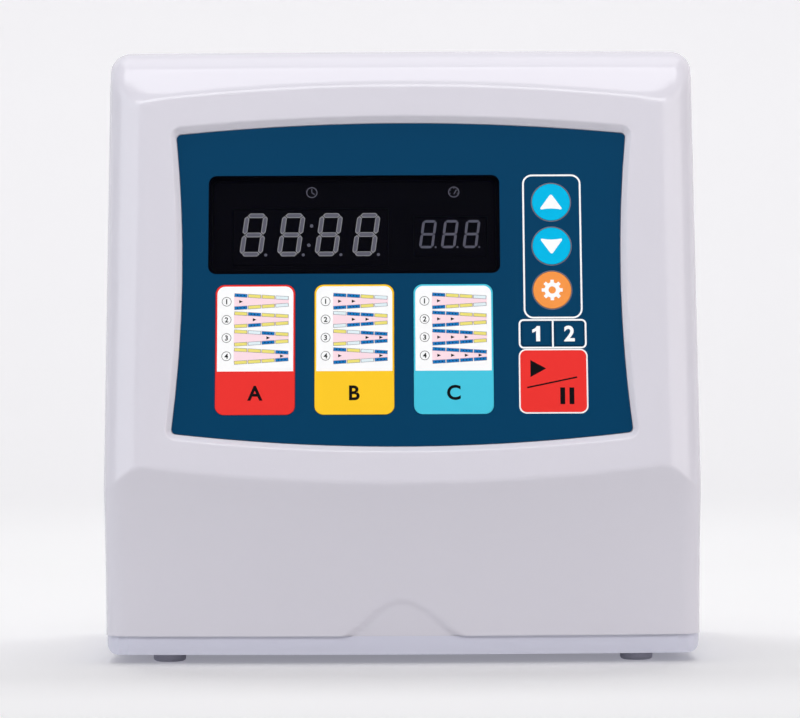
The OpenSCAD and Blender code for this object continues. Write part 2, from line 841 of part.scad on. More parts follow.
module keypad_backer() color(black_colour) {
    pocket = key_rest_gap + key_flange_t + key_travel + 0.1;
    difference() {
        union() {
            panel_plate(-ledge_w - fit_gap, ledge_back - eps, floor_w);
            panel_plate(-ledge_w + ledge_lap, backer_back, ledge_back);
            at_board_posts(board_front) cylinder(r = 3.2, h = board_gap + backer_t / 2);
        }
        for (i = [0:8]) {
            on_panel(key_places[i][0], key_places[i][1], floor_w - pocket)
                linear_extrude(pocket + 1) key_outline(i, key_flange + pocket_gap);
            on_panel(key_places[i][0], key_places[i][1], backer_back - 1)
                cylinder(r = post_r + 0.25, h = 6);
        }
        // the pane's seat, and the opening behind it
        on_panel(window_x, window_v, floor_w - pane_t)
            slab(window_w + 2 * pane_gap, window_h + 2 * pane_gap, window_r + pane_gap, pane_t + 2);
        on_panel(window_x, window_v, backer_back - 1)
            slab(window_w - 2 * pane_seat, window_h - 2 * pane_seat, window_r - pane_seat / 2, 6);
        at_board_posts(board_front - 1) cylinder(r = small_hole_r, h = 8);
    }
}

module display_window() color([0.03, 0.03, 0.06])
    on_panel(window_x, window_v, floor_w - pane_t)
        slab(window_w, window_h, window_r, pane_t + overlay_t);

module display_board() color(board_colour) difference() {
    on_panel(display_board_x, display_board_v, board_front - board_t)
        slab(display_board_size[0], display_board_size[1], 3, board_t);
    at_board_posts(board_front - board_t - 1) cylinder(r = screw_hole_r, h = board_t + 2);
}

module board_screws() color(steel_colour) {
    at_board_posts(board_front - board_t) rotate([180, 0, 0]) small_screw(5);
    at_board_corners() translate([0, 0, board_top]) small_screw(5);
}

// One segment of a digit, a bar with pointed ends
module segment(l, t) {
    polygon([[-l / 2, 0], [-l / 2 + t / 2, t / 2], [l / 2 - t / 2, t / 2], [l / 2, 0],
        [l / 2 - t / 2, -t / 2], [-l / 2 + t / 2, -t / 2]]);
}

// Seven segments of a digit h high, in strokes of width t
module digit(h, t) {
    w = h * 0.52;
    v = (h - t) / 2;
    k = tan(digit_slant);
    for (y = [-v, 0, v]) translate([y * k, y]) segment(w - t / 2 - 0.6, t);
    for (x = [-1, 1], y = [-1, 1])
        translate([x * (w - t) / 2 + y * v / 2 * k, y * v / 2]) rotate(90 - digit_slant)
            segment(v - 0.4, t);
}

module digit_module(x, size, count, pitch, h, t) {
    on_panel(x, digit_v, board_front)
        linear_extrude(display_face - board_front) square(size, center = true);
    for (i = [0:count - 1])
        on_panel(x + (i - (count - 1) / 2) * pitch, digit_v, display_face - eps)
            linear_extrude(digit_raise) digit(h, t);
}

module time_display() color(black_colour)
    digit_module(time_x, [72, 27], 4, time_pitch, time_digit_h, 2.2);

module pressure_display() color(black_colour)
    digit_module(pressure_x, [34, 19], 3, pressure_pitch, pressure_digit_h, 1.3);

module tact_switches() color(black_colour) {
    for (p = key_places) on_panel(p[0], p[1], board_front) difference() {
        translate([-switch_w / 2, -switch_w / 2, 0]) cube([switch_w, switch_w, switch_h]);
        translate([0, 0, switch_h - switch_engage - key_travel - 0.2])
            cylinder(r = post_r + 0.3, h = 4);
    }
}

// A key: its cap in the overlay's window, a flange behind the overlay and a post to its switch
module key(i) {
    on_panel(key_places[i][0], key_places[i][1], 0) {
        translate([0, 0, floor_w - key_rest_gap - key_flange_t])
            linear_extrude(key_flange_t) key_outline(i, key_flange);
        translate([0, 0, floor_w - key_rest_gap - eps])
            linear_extrude(overlay_t + key_rest_gap + key_proud + eps) key_outline(i);
        translate([0, 0, post_end])
            cylinder(r = post_r, h = floor_w - key_flange_t - post_end);
    }
}

module key_mode_a() color(red_colour) key(0);
module key_mode_b() color(yellow_colour) key(1);
module key_mode_c() color(cyan_colour) key(2);
module key_up() color(round_colour) key(3);
module key_down() color(round_colour) key(4);
module key_setting() color(setting_colour) key(5);
module key_outlet_1() color(overlay_colour) key(6);
module key_outlet_2() color(overlay_colour) key(7);
module key_start_pause() color(red_colour) key(8);

// ---------- Electronics ----------

module main_board() color(board_colour) difference() {
    translate([board_x, board_y, board_z]) slab(board_size[0], board_size[1], 2, board_t);
    at_board_corners() translate([0, 0, board_z - 1])
        cylinder(r = screw_hole_r, h = board_t + 2);
}

module board_components() color(black_colour) translate([board_x, board_y, board_top]) {
    // capacitors
    for (i = [0:2]) translate([-36 + i * 13, 14, 0]) cylinder(r = 5, h = 18 - i * 3);
    // heat sink and its fins
    translate([-2, 11, 0]) cube([32, 3, heat_sink_h]);
    for (i = [0:6]) translate([-2 + i * 5, 14 - eps, 0]) cube([1.6, 10, heat_sink_h]);
    // relays
    for (i = [0:2]) translate([-44 + i * 18, -16, 0]) cube([15, 12, relay_h]);
    // controller
    translate([11, -18, 0]) cube([14, 14, 2]);
    // headers at the right edge and at the front
    for (i = [0:2]) translate([header_x, -14 + i * 12, 0]) cube([8, 10, header_h]);
    translate([-16, -board_size[1] / 2 + 1, 0]) cube([32, 6, 8]);
}

// Flat cable from the main board's front header up to the display board's back
module ribbon_cable() color([0.60, 0.60, 0.62]) {
    y0 = board_y - board_size[1] / 2 + 4;
    z0 = board_top + 8;
    v = display_board_v - board_post_v + 4;
    p = on_bezel(0, v, board_front - board_t);
    q = on_bezel(0, v, board_front - board_t - 5);
    translate([board_x - 14, 0, 0]) rotate([90, 0, 90]) linear_extrude(28)
        strip([[y0, z0], [y0, z0 + 35], [q[1], q[2] - 16], [q[1], q[2]], [p[1], p[2]]], 0.9);
}

module transformer_core() color(steel_colour)
    translate([trafo_x, trafo_y, floor_z + strap_t + trafo[2] / 2]) difference() {
        cube(trafo, center = true);
        for (s = [-1, 1]) translate([s * (trafo_leg + trafo_window) / 2, 0, 0])
            cube([trafo_window, trafo[1] + 2, trafo[2] - trafo_leg], center = true);
    }

module transformer_coil() color(copper_colour)
    translate([trafo_x, trafo_y, floor_z + strap_t + trafo[2] / 2]) difference() {
        linear_extrude(trafo[2] - trafo_leg - 1, center = true)
            rounded(trafo_leg + 2 * trafo_window - 2, trafo[1] + 2 * trafo_window, 5);
        cube([trafo_leg + 0.6, trafo[1] + 0.6, trafo[2]], center = true);
    }

module transformer_bracket() color(steel_colour) translate([trafo_x, trafo_y, floor_z]) {
    gap = 0.05;
    high = trafo[2] + 2 * strap_t + gap;
    over = trafo[0] + 2 * strap_t + 2 * gap;
    difference() {
        translate([0, 0, strap_t / 2])
            cube([trafo[0] + 2 * trafo_foot, strap_w, strap_t], center = true);
        for (s = [-1, 1]) translate([s * (trafo[0] / 2 + trafo_foot - 3), 0, -1])
            cylinder(r = screw_hole_r, h = strap_t + 2);
    }
    for (s = [-1, 1]) translate([s * (over - strap_t) / 2, 0, high / 2])
        cube([strap_t, strap_w, high], center = true);
    translate([0, 0, high - strap_t / 2]) cube([over, strap_w, strap_t], center = true);
}

// Mains and low-voltage leads, each from one terminal to the next
module power_wiring() color([0.45, 0.28, 0.14]) {
    tab_y = rear_face - inlet_body[2] - 8;
    coil_back = trafo_y + trafo[1] / 2 + trafo_window;
    coil_side = trafo_x + trafo_leg / 2 + trafo_window - 1;
    coil_z = floor_z + strap_t + trafo[2] / 2;
    exit_x = coil_side + 14;
    exit_y = trafo_y - trafo[1] / 2 - 2.5;
    relay_y = board_y - 10;
    valve_x = manifold_x - valve_r;
    first_y = valve_y - 1.5 * valve_pitch;
    low = inlet_z + cavity_y - 2;
    coil_top = pump_axis_z + core[2] / 2 + coil_over / 2;
    // inlet to transformer
    lead([[inlet_x + 7, tab_y, low], [inlet_x + 7, coil_back + 20, low],
        [trafo_x + 4, coil_back + 8, coil_z], [trafo_x + 4, coil_back, coil_z]], 1.3);
    // inlet to switch
    lead([[inlet_x - 7, tab_y, low], [inlet_x - 7, tab_y - 12, low],
        [inlet_x, tab_y - 12, switch_z - 7], [inlet_x, tab_y + 4, switch_z - 7]], 1.3);
    // switch to transformer
    lead([[inlet_x, tab_y + 4, switch_z + 7], [inlet_x, tab_y - 20, switch_z + 7],
        [trafo_x - 8, coil_back + 8, coil_z + 6], [trafo_x - 8, coil_back, coil_z + 6]], 1.3);
    // transformer to the first relay
    lead([[coil_side, exit_y, coil_z], [exit_x, exit_y, coil_z],
        [exit_x, relay_y, board_top + relay_h / 2],
        [board_x - 44, relay_y, board_top + relay_h / 2]], 1);
    // header to the first valve, and on from valve to valve
    lead([[board_x + header_x + 4, board_y - 9, board_top + header_h],
        [board_x + header_x + 4, board_y - 9, manifold_top - 8],
        [valve_x - 8, first_y, manifold_top + valve_lead_z],
        [valve_x, first_y, manifold_top + valve_lead_z]], 1);
    for (i = [1:3]) at_valve(i) translate([0, valve_r, valve_lead_z]) rotate([-90, 0, 0])
        cylinder(r = 1, h = valve_pitch - 2 * valve_r);
    // header to the pump's front coil
    lead([[board_x + header_x + 4, board_y + 15, board_top + header_h],
        [board_x + header_x + 4, board_y + 15, board_top + heat_sink_h],
        [10, board_y + 36, coil_top], [10, pump_y - core_y + 2.5 - coil_t / 2, coil_top]], 1);
}

// ---------- Pump ----------

module pump_frame() color(steel_colour) difference() {
    union() {
        translate([0, pump_y, pump_z]) slab(pump_l - 8, pump_w, 4, plate_t);
        for (s = [-1, 1]) {
            translate([s * (end_x - end_wall_t / 2), pump_y, plate_z + pump_h / 2 - eps])
                rotate([90, 0, 90]) translate([0, 0, -end_wall_t / 2])
                slab(pump_w, pump_h, 5, end_wall_t);
            // rails under the cores' yokes
            translate([-core[0] / 2 + 2, pump_y + s * (core_y + core[1] / 2 - yoke_t / 2) - yoke_t / 2,
                plate_z - eps]) cube([core[0] - 4, yoke_t, (pump_h - core[2]) / 2 + eps]);
        }
    }
    at_pump() rotate([0, 90, 0]) translate([0, 0, -pump_l])
        cylinder(r = diaphragm_r - 6, h = 2 * pump_l);
    at_mounts() translate([0, 0, pump_z - 1]) cylinder(r = mount_neck_r + 0.2, h = plate_t + 2);
}

module pump_cores() color([0.35, 0.35, 0.37]) for (s = [-1, 1]) at_pump()
    translate([0, s * core_y, 0]) difference() {
        cube(core, center = true);
        // slots for the winding, open to the magnets
        for (x = [-1, 1]) translate([x * (core_leg + core_slot) / 2, -s * yoke_t, 0])
            cube([core_slot, core[1], core[2] + 2], center = true);
    }

module pump_coils() color(copper_colour) for (s = [-1, 1]) at_pump()
    translate([0, s * (core_y - 2.5), 0]) difference() {
        rotate([90, 0, 0]) translate([0, 0, -coil_t / 2])
            slab(core_leg + 2 * core_slot - 1, core[2] + 2 * coil_over, 6, coil_t);
        cube([core_leg + 2 * coil_clear, 2 * coil_t, core[2] + 2 * coil_clear], center = true);
    }

module pump_armature() color([0.55, 0.56, 0.60]) at_pump() {
    rotate([0, 90, 0]) translate([0, 0, -end_x]) cylinder(r = rod_r, h = 2 * end_x);
    cube(magnet, center = true);
    for (s = [-1, 1]) rotate([0, 90, 0])
        translate([0, 0, s * (end_x + diaphragm_t / 2) - diaphragm_t / 2])
        cylinder(r = piston_r, h = diaphragm_t);
}

module pump_diaphragms() color(rubber_colour) for (s = [-1, 1]) at_pump()
    translate([s * (end_x + diaphragm_t / 2), 0, 0]) rotate([0, 90, 0])
    translate([0, 0, -diaphragm_t / 2]) tube(diaphragm_r, piston_r + diaphragm_gap, diaphragm_t);

module pump_heads() color(black_colour) for (s = [-1, 1]) at_pump() difference() {
    union() {
        translate([s * (end_x + diaphragm_t), 0, 0]) rotate([0, s * 90, 0]) {
            slab(head_w, head_w, 6, head_t);
            // ribs on the outer face
            for (i = [-2:2]) translate([-diaphragm_r, i * 9 - 1, head_t - eps])
                cube([2 * diaphragm_r, 2, 2]);
        }
        // outlet nozzle on top
        translate([s * (end_x + diaphragm_t + head_t / 2), nozzle_y, diaphragm_r])
            cylinder(r = nozzle_r, h = nozzle_l);
    }
    translate([s * (end_x + diaphragm_t), 0, 0]) rotate([0, s * 90, 0]) translate([0, 0, -1])
        cylinder(r = diaphragm_r - 5, h = 7);
    translate([s * (end_x + diaphragm_t + head_t / 2), nozzle_y, diaphragm_r - 6])
        cylinder(r = nozzle_bore_r, h = nozzle_l + 8);
}

module pump_mounts() color(rubber_colour) at_mounts() translate([0, 0, floor_z])
    rotate_extrude() polygon([[0, 0], [mount_r, 0], [mount_r, 3], [mount_r - 2, 6],
        [mount_r, 9], [mount_r, mount_h], [mount_neck_r, mount_h],
        [mount_neck_r, mount_h + plate_t], [mount_neck_r + 2, mount_h + plate_t],
        [mount_neck_r + 1, mount_h + plate_t + 3], [0, mount_h + plate_t + 3]]);

// Felt filter box on the tray, behind the pump
module intake_filter() color([0.80, 0.78, 0.72])
    translate([0, pump_y + pump_w / 2 + filter_gap + filter[1] / 2, floor_z])
        slab(filter[0], filter[1], 3, filter[2]);

// ---------- Air ----------

module valve_manifold() color([0.82, 0.82, 0.84]) difference() {
    union() {
        translate([manifold_x, socket_y, socket_z - manifold_h / 2])
            slab(manifold_w, manifold_l, 3, manifold_h);
        // feet down to the tray
        for (s = [-1, 1])
            translate([manifold_x - manifold_foot[0] / 2,
                socket_y + s * (manifold_l / 2 - 8) - manifold_foot[1] / 2, floor_z])
                cube([manifold_foot[0], manifold_foot[1],
                    socket_z - manifold_h / 2 - floor_z + eps]);
        // barbs towards the sockets
        for (i = [1, 2]) at_socket(i) at_nipples()
            translate([0, 0, manifold_x + manifold_w / 2 - socket_face - eps])
                cylinder(r = nipple_r, h = barb_l);
        // inlet nozzle
        translate([manifold_x, pump_y + nozzle_y, manifold_top - eps])
            cylinder(r = nozzle_r, h = nozzle_l);
    }
    for (i = [1:4]) at_valve(i) translate([0, 0, -valve_pocket])
        cylinder(r = plunger_r + 0.3, h = valve_pocket + 4);
    for (i = [1, 2]) at_socket(i) at_nipples() translate([0, 0, manifold_x - socket_face])
        cylinder(r = nipple_bore_r, h = manifold_w / 2 + barb_l + 1);
    translate([manifold_x, pump_y + nozzle_y, socket_z])
        cylinder(r = nozzle_bore_r, h = manifold_h / 2 + nozzle_l + 1);
}

module valve_coils() color([0.20, 0.22, 0.50]) for (i = [1:4]) at_valve(i) difference() {
    union() {
        cylinder(r = valve_r, h = valve_h);
        translate([0, 0, valve_h - eps]) cylinder(r = 6, h = 3);
    }
    translate([0, 0, -1]) cylinder(r = plunger_r + 0.1, h = valve_h - coil_cap + 1);
}

module plunger(i) color(steel_colour) at_valve(i) translate([0, 0, 0.05 - valve_pocket]) {
    cylinder(r = plunger_r, h = plunger_l);
    translate([0, 0, plunger_l - eps]) cylinder(r = 1.4, h = plunger_pin);
}

module valve_plunger_1() plunger(1);
module valve_plunger_2() plunger(2);
module valve_plunger_3() plunger(3);
module valve_plunger_4() plunger(4);

// Return springs, drawn as sleeves between the raised plungers and the coils' ends
module valve_springs() color(steel_colour) {
    z0 = plunger_l - valve_pocket + plunger_travel + 0.1;
    z1 = valve_h - coil_cap - 0.05;
    for (i = [1:4]) at_valve(i) translate([0, 0, z0]) tube(3.4, 2.2, z1 - z0);
}

module pressure_sensor() color(black_colour)
    translate([board_x + sensor_at[0], board_y + sensor_at[1], board_top]) {
        translate([-6, -6, 0]) cube([12, 12, 4.4]);
        translate([0, 0, 4]) cylinder(r = 1.5, h = sensor_h - 4);
    }

module relief_valve() color([0.78, 0.62, 0.30])
    translate([manifold_x, socket_y + manifold_l / 2, socket_z]) rotate([-90, 0, 0]) {
        cylinder(r = 6, h = 8, $fn = 6);
        translate([0, 0, 8 - eps]) cylinder(r = 4.5, h = 6);
    }

// Path of the supply hose: up from each head, along the top and down to the manifold
module supply_path(r, over) {
    y = pump_y + nozzle_y;
    x = end_x + diaphragm_t + head_t / 2;
    z0 = pump_axis_z + head_w / 2 + 2;
    zt = z0 + nozzle_l + supply_bend;
    for (s = [-1, 1]) translate([s * x, y, z0 - over])
        cylinder(r = r, h = (s < 0 ? nozzle_l : nozzle_l + supply_bend) + over);
    translate([-x, y, zt - supply_bend]) bend(r, supply_bend);
    translate([supply_bend - x, y, zt]) rotate([0, 90, 0])
        cylinder(r = r, h = manifold_x + x - 2 * supply_bend);
    translate([manifold_x, y, zt - supply_bend]) mirror([1, 0, 0]) bend(r, supply_bend);
    translate([manifold_x, y, manifold_top + 2 - over])
        cylinder(r = r, h = zt - supply_bend - manifold_top - 2 + over);
}

module supply_hose() color(hose_colour) difference() {
    supply_path(supply_r, 0);
    supply_path(supply_bore_r, 1);
}

module outlet_hoses() color(hose_colour) {
    start = manifold_x + manifold_w / 2 - socket_face + fit_gap;
    for (i = [1, 2]) at_socket(i) at_nipples() translate([0, 0, start])
        tube(hose_r, hose_bore_r, -socket_depth - socket_floor_t - fit_gap - start);
}

module sensor_hose() color(hose_colour) {
    x = board_x + sensor_at[0];
    y = board_y + sensor_at[1];
    z = board_top + sensor_h + 0.1;
    x1 = manifold_x - manifold_w / 2;
    lead([[x, y, z], [x, y, z + 8], [x1 - 8, y, z + 8], [x1 - 8, y, socket_z],
        [x1, y, socket_z]], 2);
}

// Four-way socket: a flange in the wall, a cup, four nipples in it and four barbs behind it
module outlet_socket(i) color([0.42, 0.43, 0.46]) at_socket(i) {
    back = socket_depth + socket_floor_t;
    cup = socket_body - 2 * socket_wall;
    difference() {
        union() {
            slab(socket_w, socket_w, 4, socket_flange_t);
            translate([0, 0, -back]) slab(socket_body, socket_body, 3, back + eps);
            at_nipples() translate([0, 0, -back - barb_l]) cylinder(r = nipple_r, h = barb_l + 1);
        }
        difference() {
            translate([0, 0, -socket_depth]) slab(cup, cup, 2, socket_depth + 3);
            at_nipples() translate([0, 0, -socket_depth - 1])
                cylinder(r = nipple_r, h = nipple_h + 1);
        }
        at_nipples() translate([0, 0, -back - barb_l - 1])
            cylinder(r = nipple_bore_r, h = back + barb_l + 2);
    }
}

module outlet_socket_1() outlet_socket(1);
module outlet_socket_2() outlet_socket(2);

// ---------- Mains ----------

module at_rivets() {
    for (s = [-1, 1]) translate([s * 20, cavity_y, 0]) children();
}

// The connector's cavity, with its two upper corners cut off
module cavity_outline() {
    w = cavity[0] / 2;
    h = cavity[1] / 2;
    c = 4;
    polygon([[-w, -h], [w, -h], [w, h - c], [w - c, h], [c - w, h], [-w, h - c]]);
}

module mains_inlet() color(black_colour) at_rear(inlet_z) {
    floor = inlet_flange[2] - cavity[2];
    difference() {
        union() {
            slab(inlet_flange[0], inlet_flange[1], 3, inlet_flange[2]);
            translate([0, 0, -inlet_body[2]])
                slab(inlet_body[0], inlet_body[1], 1, inlet_body[2] + eps);
            // terminals
            for (x = [-7, 0, 7]) translate([x - 0.4, cavity_y + (x == 0 ? 2 : -2) - 3.1,
                -inlet_body[2] - 8]) cube([0.8, 6.2, 8 + eps]);
        }
        difference() {
            translate([0, cavity_y, floor]) linear_extrude(20) cavity_outline();
            for (x = [-7, 0, 7])
                translate([x - blade[0] / 2, cavity_y + (x == 0 ? 2 : -2) - blade[1] / 2, floor - 1])
                    cube([blade[0], blade[1], blade[2] + 1]);
        }
        // the fuse drawer's slot
        translate([0, drawer_y, -drawer[2] - 1]) linear_extrude(20)
            square([drawer[0] + 2 * drawer_gap, drawer[1] + 2 * drawer_gap], center = true);
        at_rivets() translate([0, 0, -1]) cylinder(r = screw_hole_r, h = 4);
    }
}

module inlet_rivets() color(steel_colour) at_rear(inlet_z) at_rivets() {
    translate([0, 0, -rear_t - 0.9]) cylinder(r = 2.3, h = 0.9);
    translate([0, 0, -rear_t - eps]) cylinder(r = screw_r, h = rear_t + inlet_flange[2] + 2 * eps);
    translate([0, 0, inlet_flange[2]]) cylinder(r = 2.6, h = 0.9);
}

module fuse_drawer() color(black_colour) at_rear(inlet_z) translate([0, drawer_y, 0]) {
    difference() {
        translate([-drawer[0] / 2, -drawer[1] / 2, -drawer[2]])
            cube([drawer[0], drawer[1], drawer[2] + inlet_flange[2]]);
        // troughs for the fuse and the spare, open upwards
        for (z = [-4, -10.5]) translate([0, 0, z]) {
            rotate([0, 90, 0]) cylinder(r = fuse_r + 0.3, h = fuse_l + 0.6, center = true);
            translate([-fuse_l / 2 - 0.3, 0, -fuse_r - 0.3])
                cube([fuse_l + 0.6, drawer[1], 2 * fuse_r + 0.6]);
        }
    }
    // finger lip
    translate([-6, -drawer[1] / 2, inlet_flange[2] - eps]) cube([12, 1.6, 1.4]);
}

module fuses() color(steel_colour) at_rear(inlet_z) for (z = [-4, -10.5])
    translate([0, drawer_y - 0.2, z]) rotate([0, 90, 0])
        cylinder(r = fuse_r, h = fuse_l, center = true);

module switch_frame() color(black_colour) at_rear(switch_z) difference() {
    union() {
        slab(switch_body[0] + 4, switch_body[1] + 4, 2, 2);
        translate([0, 0, -switch_body[2]]) linear_extrude(switch_body[2] + eps)
            square([switch_body[0], switch_body[1]], center = true);
        for (y = [-7, 7]) translate([-3.1, y - 0.4, -switch_body[2] - 8])
            cube([6.2, 0.8, 8 + eps]);
    }
    translate([0, 0, 2 - switch_well[2]]) linear_extrude(20)
        square([switch_well[0], switch_well[1]], center = true);
    // pivot holes
    translate([0, 0, rocker_pivot]) rotate([0, 90, 0])
        cylinder(r = 1.6, h = switch_well[0] + 2.2, center = true);
}

// Rocker, tilted to its off position
module switch_rocker() color(red_colour) at_rear(switch_z) translate([0, 0, rocker_pivot])
    rotate([-rocker_tilt / 2, 0, 0]) {
        a = rocker_half;
        rotate([90, 0, 90]) linear_extrude(rocker_w, center = true)
            polygon([[-a, 6], [-a / 2, 4.6], [0, 4], [a / 2, 4.6], [a, 6], [a - 0.7, 0], [3, -3],
                [-3, -3], [0.7 - a, 0]]);
        rotate([0, 90, 0]) cylinder(r = 1.5, h = rocker_w + 2, center = true);
    }

top_housing();
base_tray();
rear_panel();
rubber_feet();
base_screws();
rear_screws();
panel_overlay();
keypad_backer();
display_window();
display_board();
board_screws();
time_display();
pressure_display();
tact_switches();
key_mode_a();
key_mode_b();
key_mode_c();
key_up();
key_down();
key_setting();
key_outlet_1();
key_outlet_2();
key_start_pause();
main_board();
board_components();
ribbon_cable();
power_wiring();
transformer_core();
transformer_coil();
transformer_bracket();
pump_frame();
pump_cores();
pump_coils();
pump_armature();
pump_diaphragms();
pump_heads();
pump_mounts();
intake_filter();
valve_manifold();
valve_coils();
valve_plunger_1();
valve_plunger_2();
valve_plunger_3();
valve_plunger_4();
valve_springs();
pressure_sensor();
relief_valve();
supply_hose();
outlet_hoses();
sensor_hose();
outlet_socket_1();
outlet_socket_2();
mains_inlet();
inlet_rivets();
fuse_drawer();
fuses();
switch_frame();
switch_rocker();
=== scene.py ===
import math

import bmesh
import bpy
import numpy as np
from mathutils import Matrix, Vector


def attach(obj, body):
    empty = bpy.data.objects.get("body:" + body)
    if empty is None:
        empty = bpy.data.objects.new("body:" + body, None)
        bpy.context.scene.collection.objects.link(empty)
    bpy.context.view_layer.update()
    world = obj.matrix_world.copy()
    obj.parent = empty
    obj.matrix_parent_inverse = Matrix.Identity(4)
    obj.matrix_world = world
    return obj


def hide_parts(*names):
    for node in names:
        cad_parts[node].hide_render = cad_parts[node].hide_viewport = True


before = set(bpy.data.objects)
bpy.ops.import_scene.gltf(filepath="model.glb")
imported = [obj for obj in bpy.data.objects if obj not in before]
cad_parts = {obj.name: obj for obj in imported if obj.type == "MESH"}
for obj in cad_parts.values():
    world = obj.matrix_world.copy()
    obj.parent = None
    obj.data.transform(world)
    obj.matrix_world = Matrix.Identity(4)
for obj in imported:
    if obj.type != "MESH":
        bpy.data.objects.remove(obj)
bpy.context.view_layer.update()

MM = 0.001

# ---------- Sizes, in millimetres, as in the source ----------

HALF_W, FRONT_Y, BACK_Y = 137.0, -95.15, 95.0
CHIN_Z, BEZEL_H, BEZEL_HALF = 82.9, 188.7, 121.6
LEAN, BEVEL, BROW_LEAN, UNDERCUT = (math.radians(a) for a in (12, 25, 39, 17))
BROW_Z = CHIN_Z + BEZEL_H * math.cos(LEAN)
TOP_Z = BROW_Z + 17.2
BASE_TOP = 12.5
LOWER_H = CHIN_Z - BASE_TOP
BROW_Y = FRONT_Y + (BROW_Z - CHIN_Z) * math.tan(LEAN)
BOW, CORNER_R, EDGE_R, REAR_R, WALL = 4.2, 9.0, 10.0, 5.0, 2.6
CREASE_R, SIDE_BLEND, LOW_BLEND, BROW_BLEND = 6.5, 2.2, 0.6, 1.0
MITRE_X, MITRE_W = 106, 20
SCOOP_W, SCOOP_H, BAND_INSET = 27.0, 16.3, 1.0
OVERLAY = dict(waist=100.9, flare=4.7, bottom=17.6, rise=6.3, top=170.3, drop=5.3, r=2.0,
               taper=1.2)
RECESS, OVERLAY_T, LEDGE_T, FIT = 2.8, 0.8, 2.4, 0.3
FACE_W, CAP_W = -2.8, -2.6
SOCKET_Z, SOCKET_YS = 58.0, (-32.0, 22.0)
SOCKET_FLANGE, SOCKET_BODY = 38.6, 34.6
FLANGE_Y = BACK_Y - 7.0

# ---------- Camera ----------

LENS = 138.9
EYE_DISTANCE, EYE_HEIGHT = 1400.0, 139.2
ROLL, SHIFT = math.radians(0.25), -1.8 / 800

camera = bpy.data.objects.new("Camera", bpy.data.cameras.new("Camera"))
bpy.context.scene.collection.objects.link(camera)
camera.data.sensor_width = 36
camera.data.lens = LENS
camera.data.shift_x = SHIFT
camera.location = (0, (FRONT_Y - EYE_DISTANCE) * MM, EYE_HEIGHT * MM)
camera.rotation_euler = (math.radians(90), ROLL, 0)
camera.data.clip_start, camera.data.clip_end = 0.05, 60
bpy.context.scene.camera = camera

# ---------- Materials ----------

def srgb(r, g, b):
    """Linear colour of an sRGB one given from 0 to 255."""
    out = []
    for c in (r, g, b):
        c /= 255
        out.append(c / 12.92 if c <= 0.04045 else ((c + 0.055) / 1.055) ** 2.4)
    return (*out, 1)


def principled(name):
    m = bpy.data.materials.new(name)
    m.use_nodes = True
    return m, m.node_tree.nodes, m.node_tree.links, m.node_tree.nodes["Principled BSDF"]


def noise(nodes, links, scale, detail=4.0, rough=0.55, stretch=None):
    """Noise on object coordinates, its scale in repeats per metre."""
    at = nodes.new("ShaderNodeTexCoord").outputs["Object"]
    if stretch:
        m = nodes.new("ShaderNodeMapping")
        m.inputs["Scale"].default_value = stretch
        links.new(at, m.inputs["Vector"])
        at = m.outputs["Vector"]
    n = nodes.new("ShaderNodeTexNoise")
    n.inputs["Scale"].default_value = scale
    n.inputs["Detail"].default_value = detail
    n.inputs["Roughness"].default_value = rough
    links.new(at, n.inputs["Vector"])
    return n.outputs["Fac"]


def ranged(nodes, links, fac, lo, hi, a=0.3, b=0.7):
    r = nodes.new("ShaderNodeMapRange")
    for key, value in (("From Min", a), ("From Max", b), ("To Min", lo), ("To Max", hi)):
        r.inputs[key].default_value = value
    links.new(fac, r.inputs["Value"])
    return r.outputs["Result"]


def surface(name, colour, rough=0.4, spread=0.05, tint=0.04, grain=900, bump=0.04, cloud=14,
            metal=0.0, stretch=None, ior=1.5, coat=0.0, alpha=1.0, shine=0.5):
    """Moulded, printed or metal surface: cloudy tint, uneven gloss and a fine grain."""
    m, nodes, links, bsdf = principled(name)
    fac = noise(nodes, links, cloud, 3.0)
    mix = nodes.new("ShaderNodeMix")
    mix.data_type = "RGBA"
    mix.inputs[6].default_value = tuple(c * (1 - tint) for c in colour[:3]) + (1,)
    mix.inputs[7].default_value = tuple(min(1, c * (1 + tint)) for c in colour[:3]) + (1,)
    links.new(fac, mix.inputs[0])
    links.new(mix.outputs[2], bsdf.inputs["Base Color"])
    fine = noise(nodes, links, grain, 3.0, 0.6, stretch)
    links.new(ranged(nodes, links, fine, rough - spread, rough + spread),
              bsdf.inputs["Roughness"])
    if bump:
        b = nodes.new("ShaderNodeBump")
        b.inputs["Strength"].default_value = bump
        b.inputs["Distance"].default_value = 0.0002
        links.new(fine, b.inputs["Height"])
        links.new(b.outputs["Normal"], bsdf.inputs["Normal"])
    bsdf.inputs["Metallic"].default_value = metal
    bsdf.inputs["IOR"].default_value = ior
    bsdf.inputs["Coat Weight"].default_value = coat
    bsdf.inputs["Specular IOR Level"].default_value = shine
    bsdf.inputs["Alpha"].default_value = alpha
    return m


def film(name, colour, tint=0.015, cloud=10, shine=0.06):
    """Matt membrane film, coloured in the sheet."""
    return surface(name, colour, 0.42, 0.04, tint, 2600, 0.05, cloud, shine=shine)


def ink(name, colour, tint):
    """Screen-printed ink on the film."""
    return surface(name, colour, 0.45, 0.04, tint, 2600, 0.03, 10, shine=0.06)


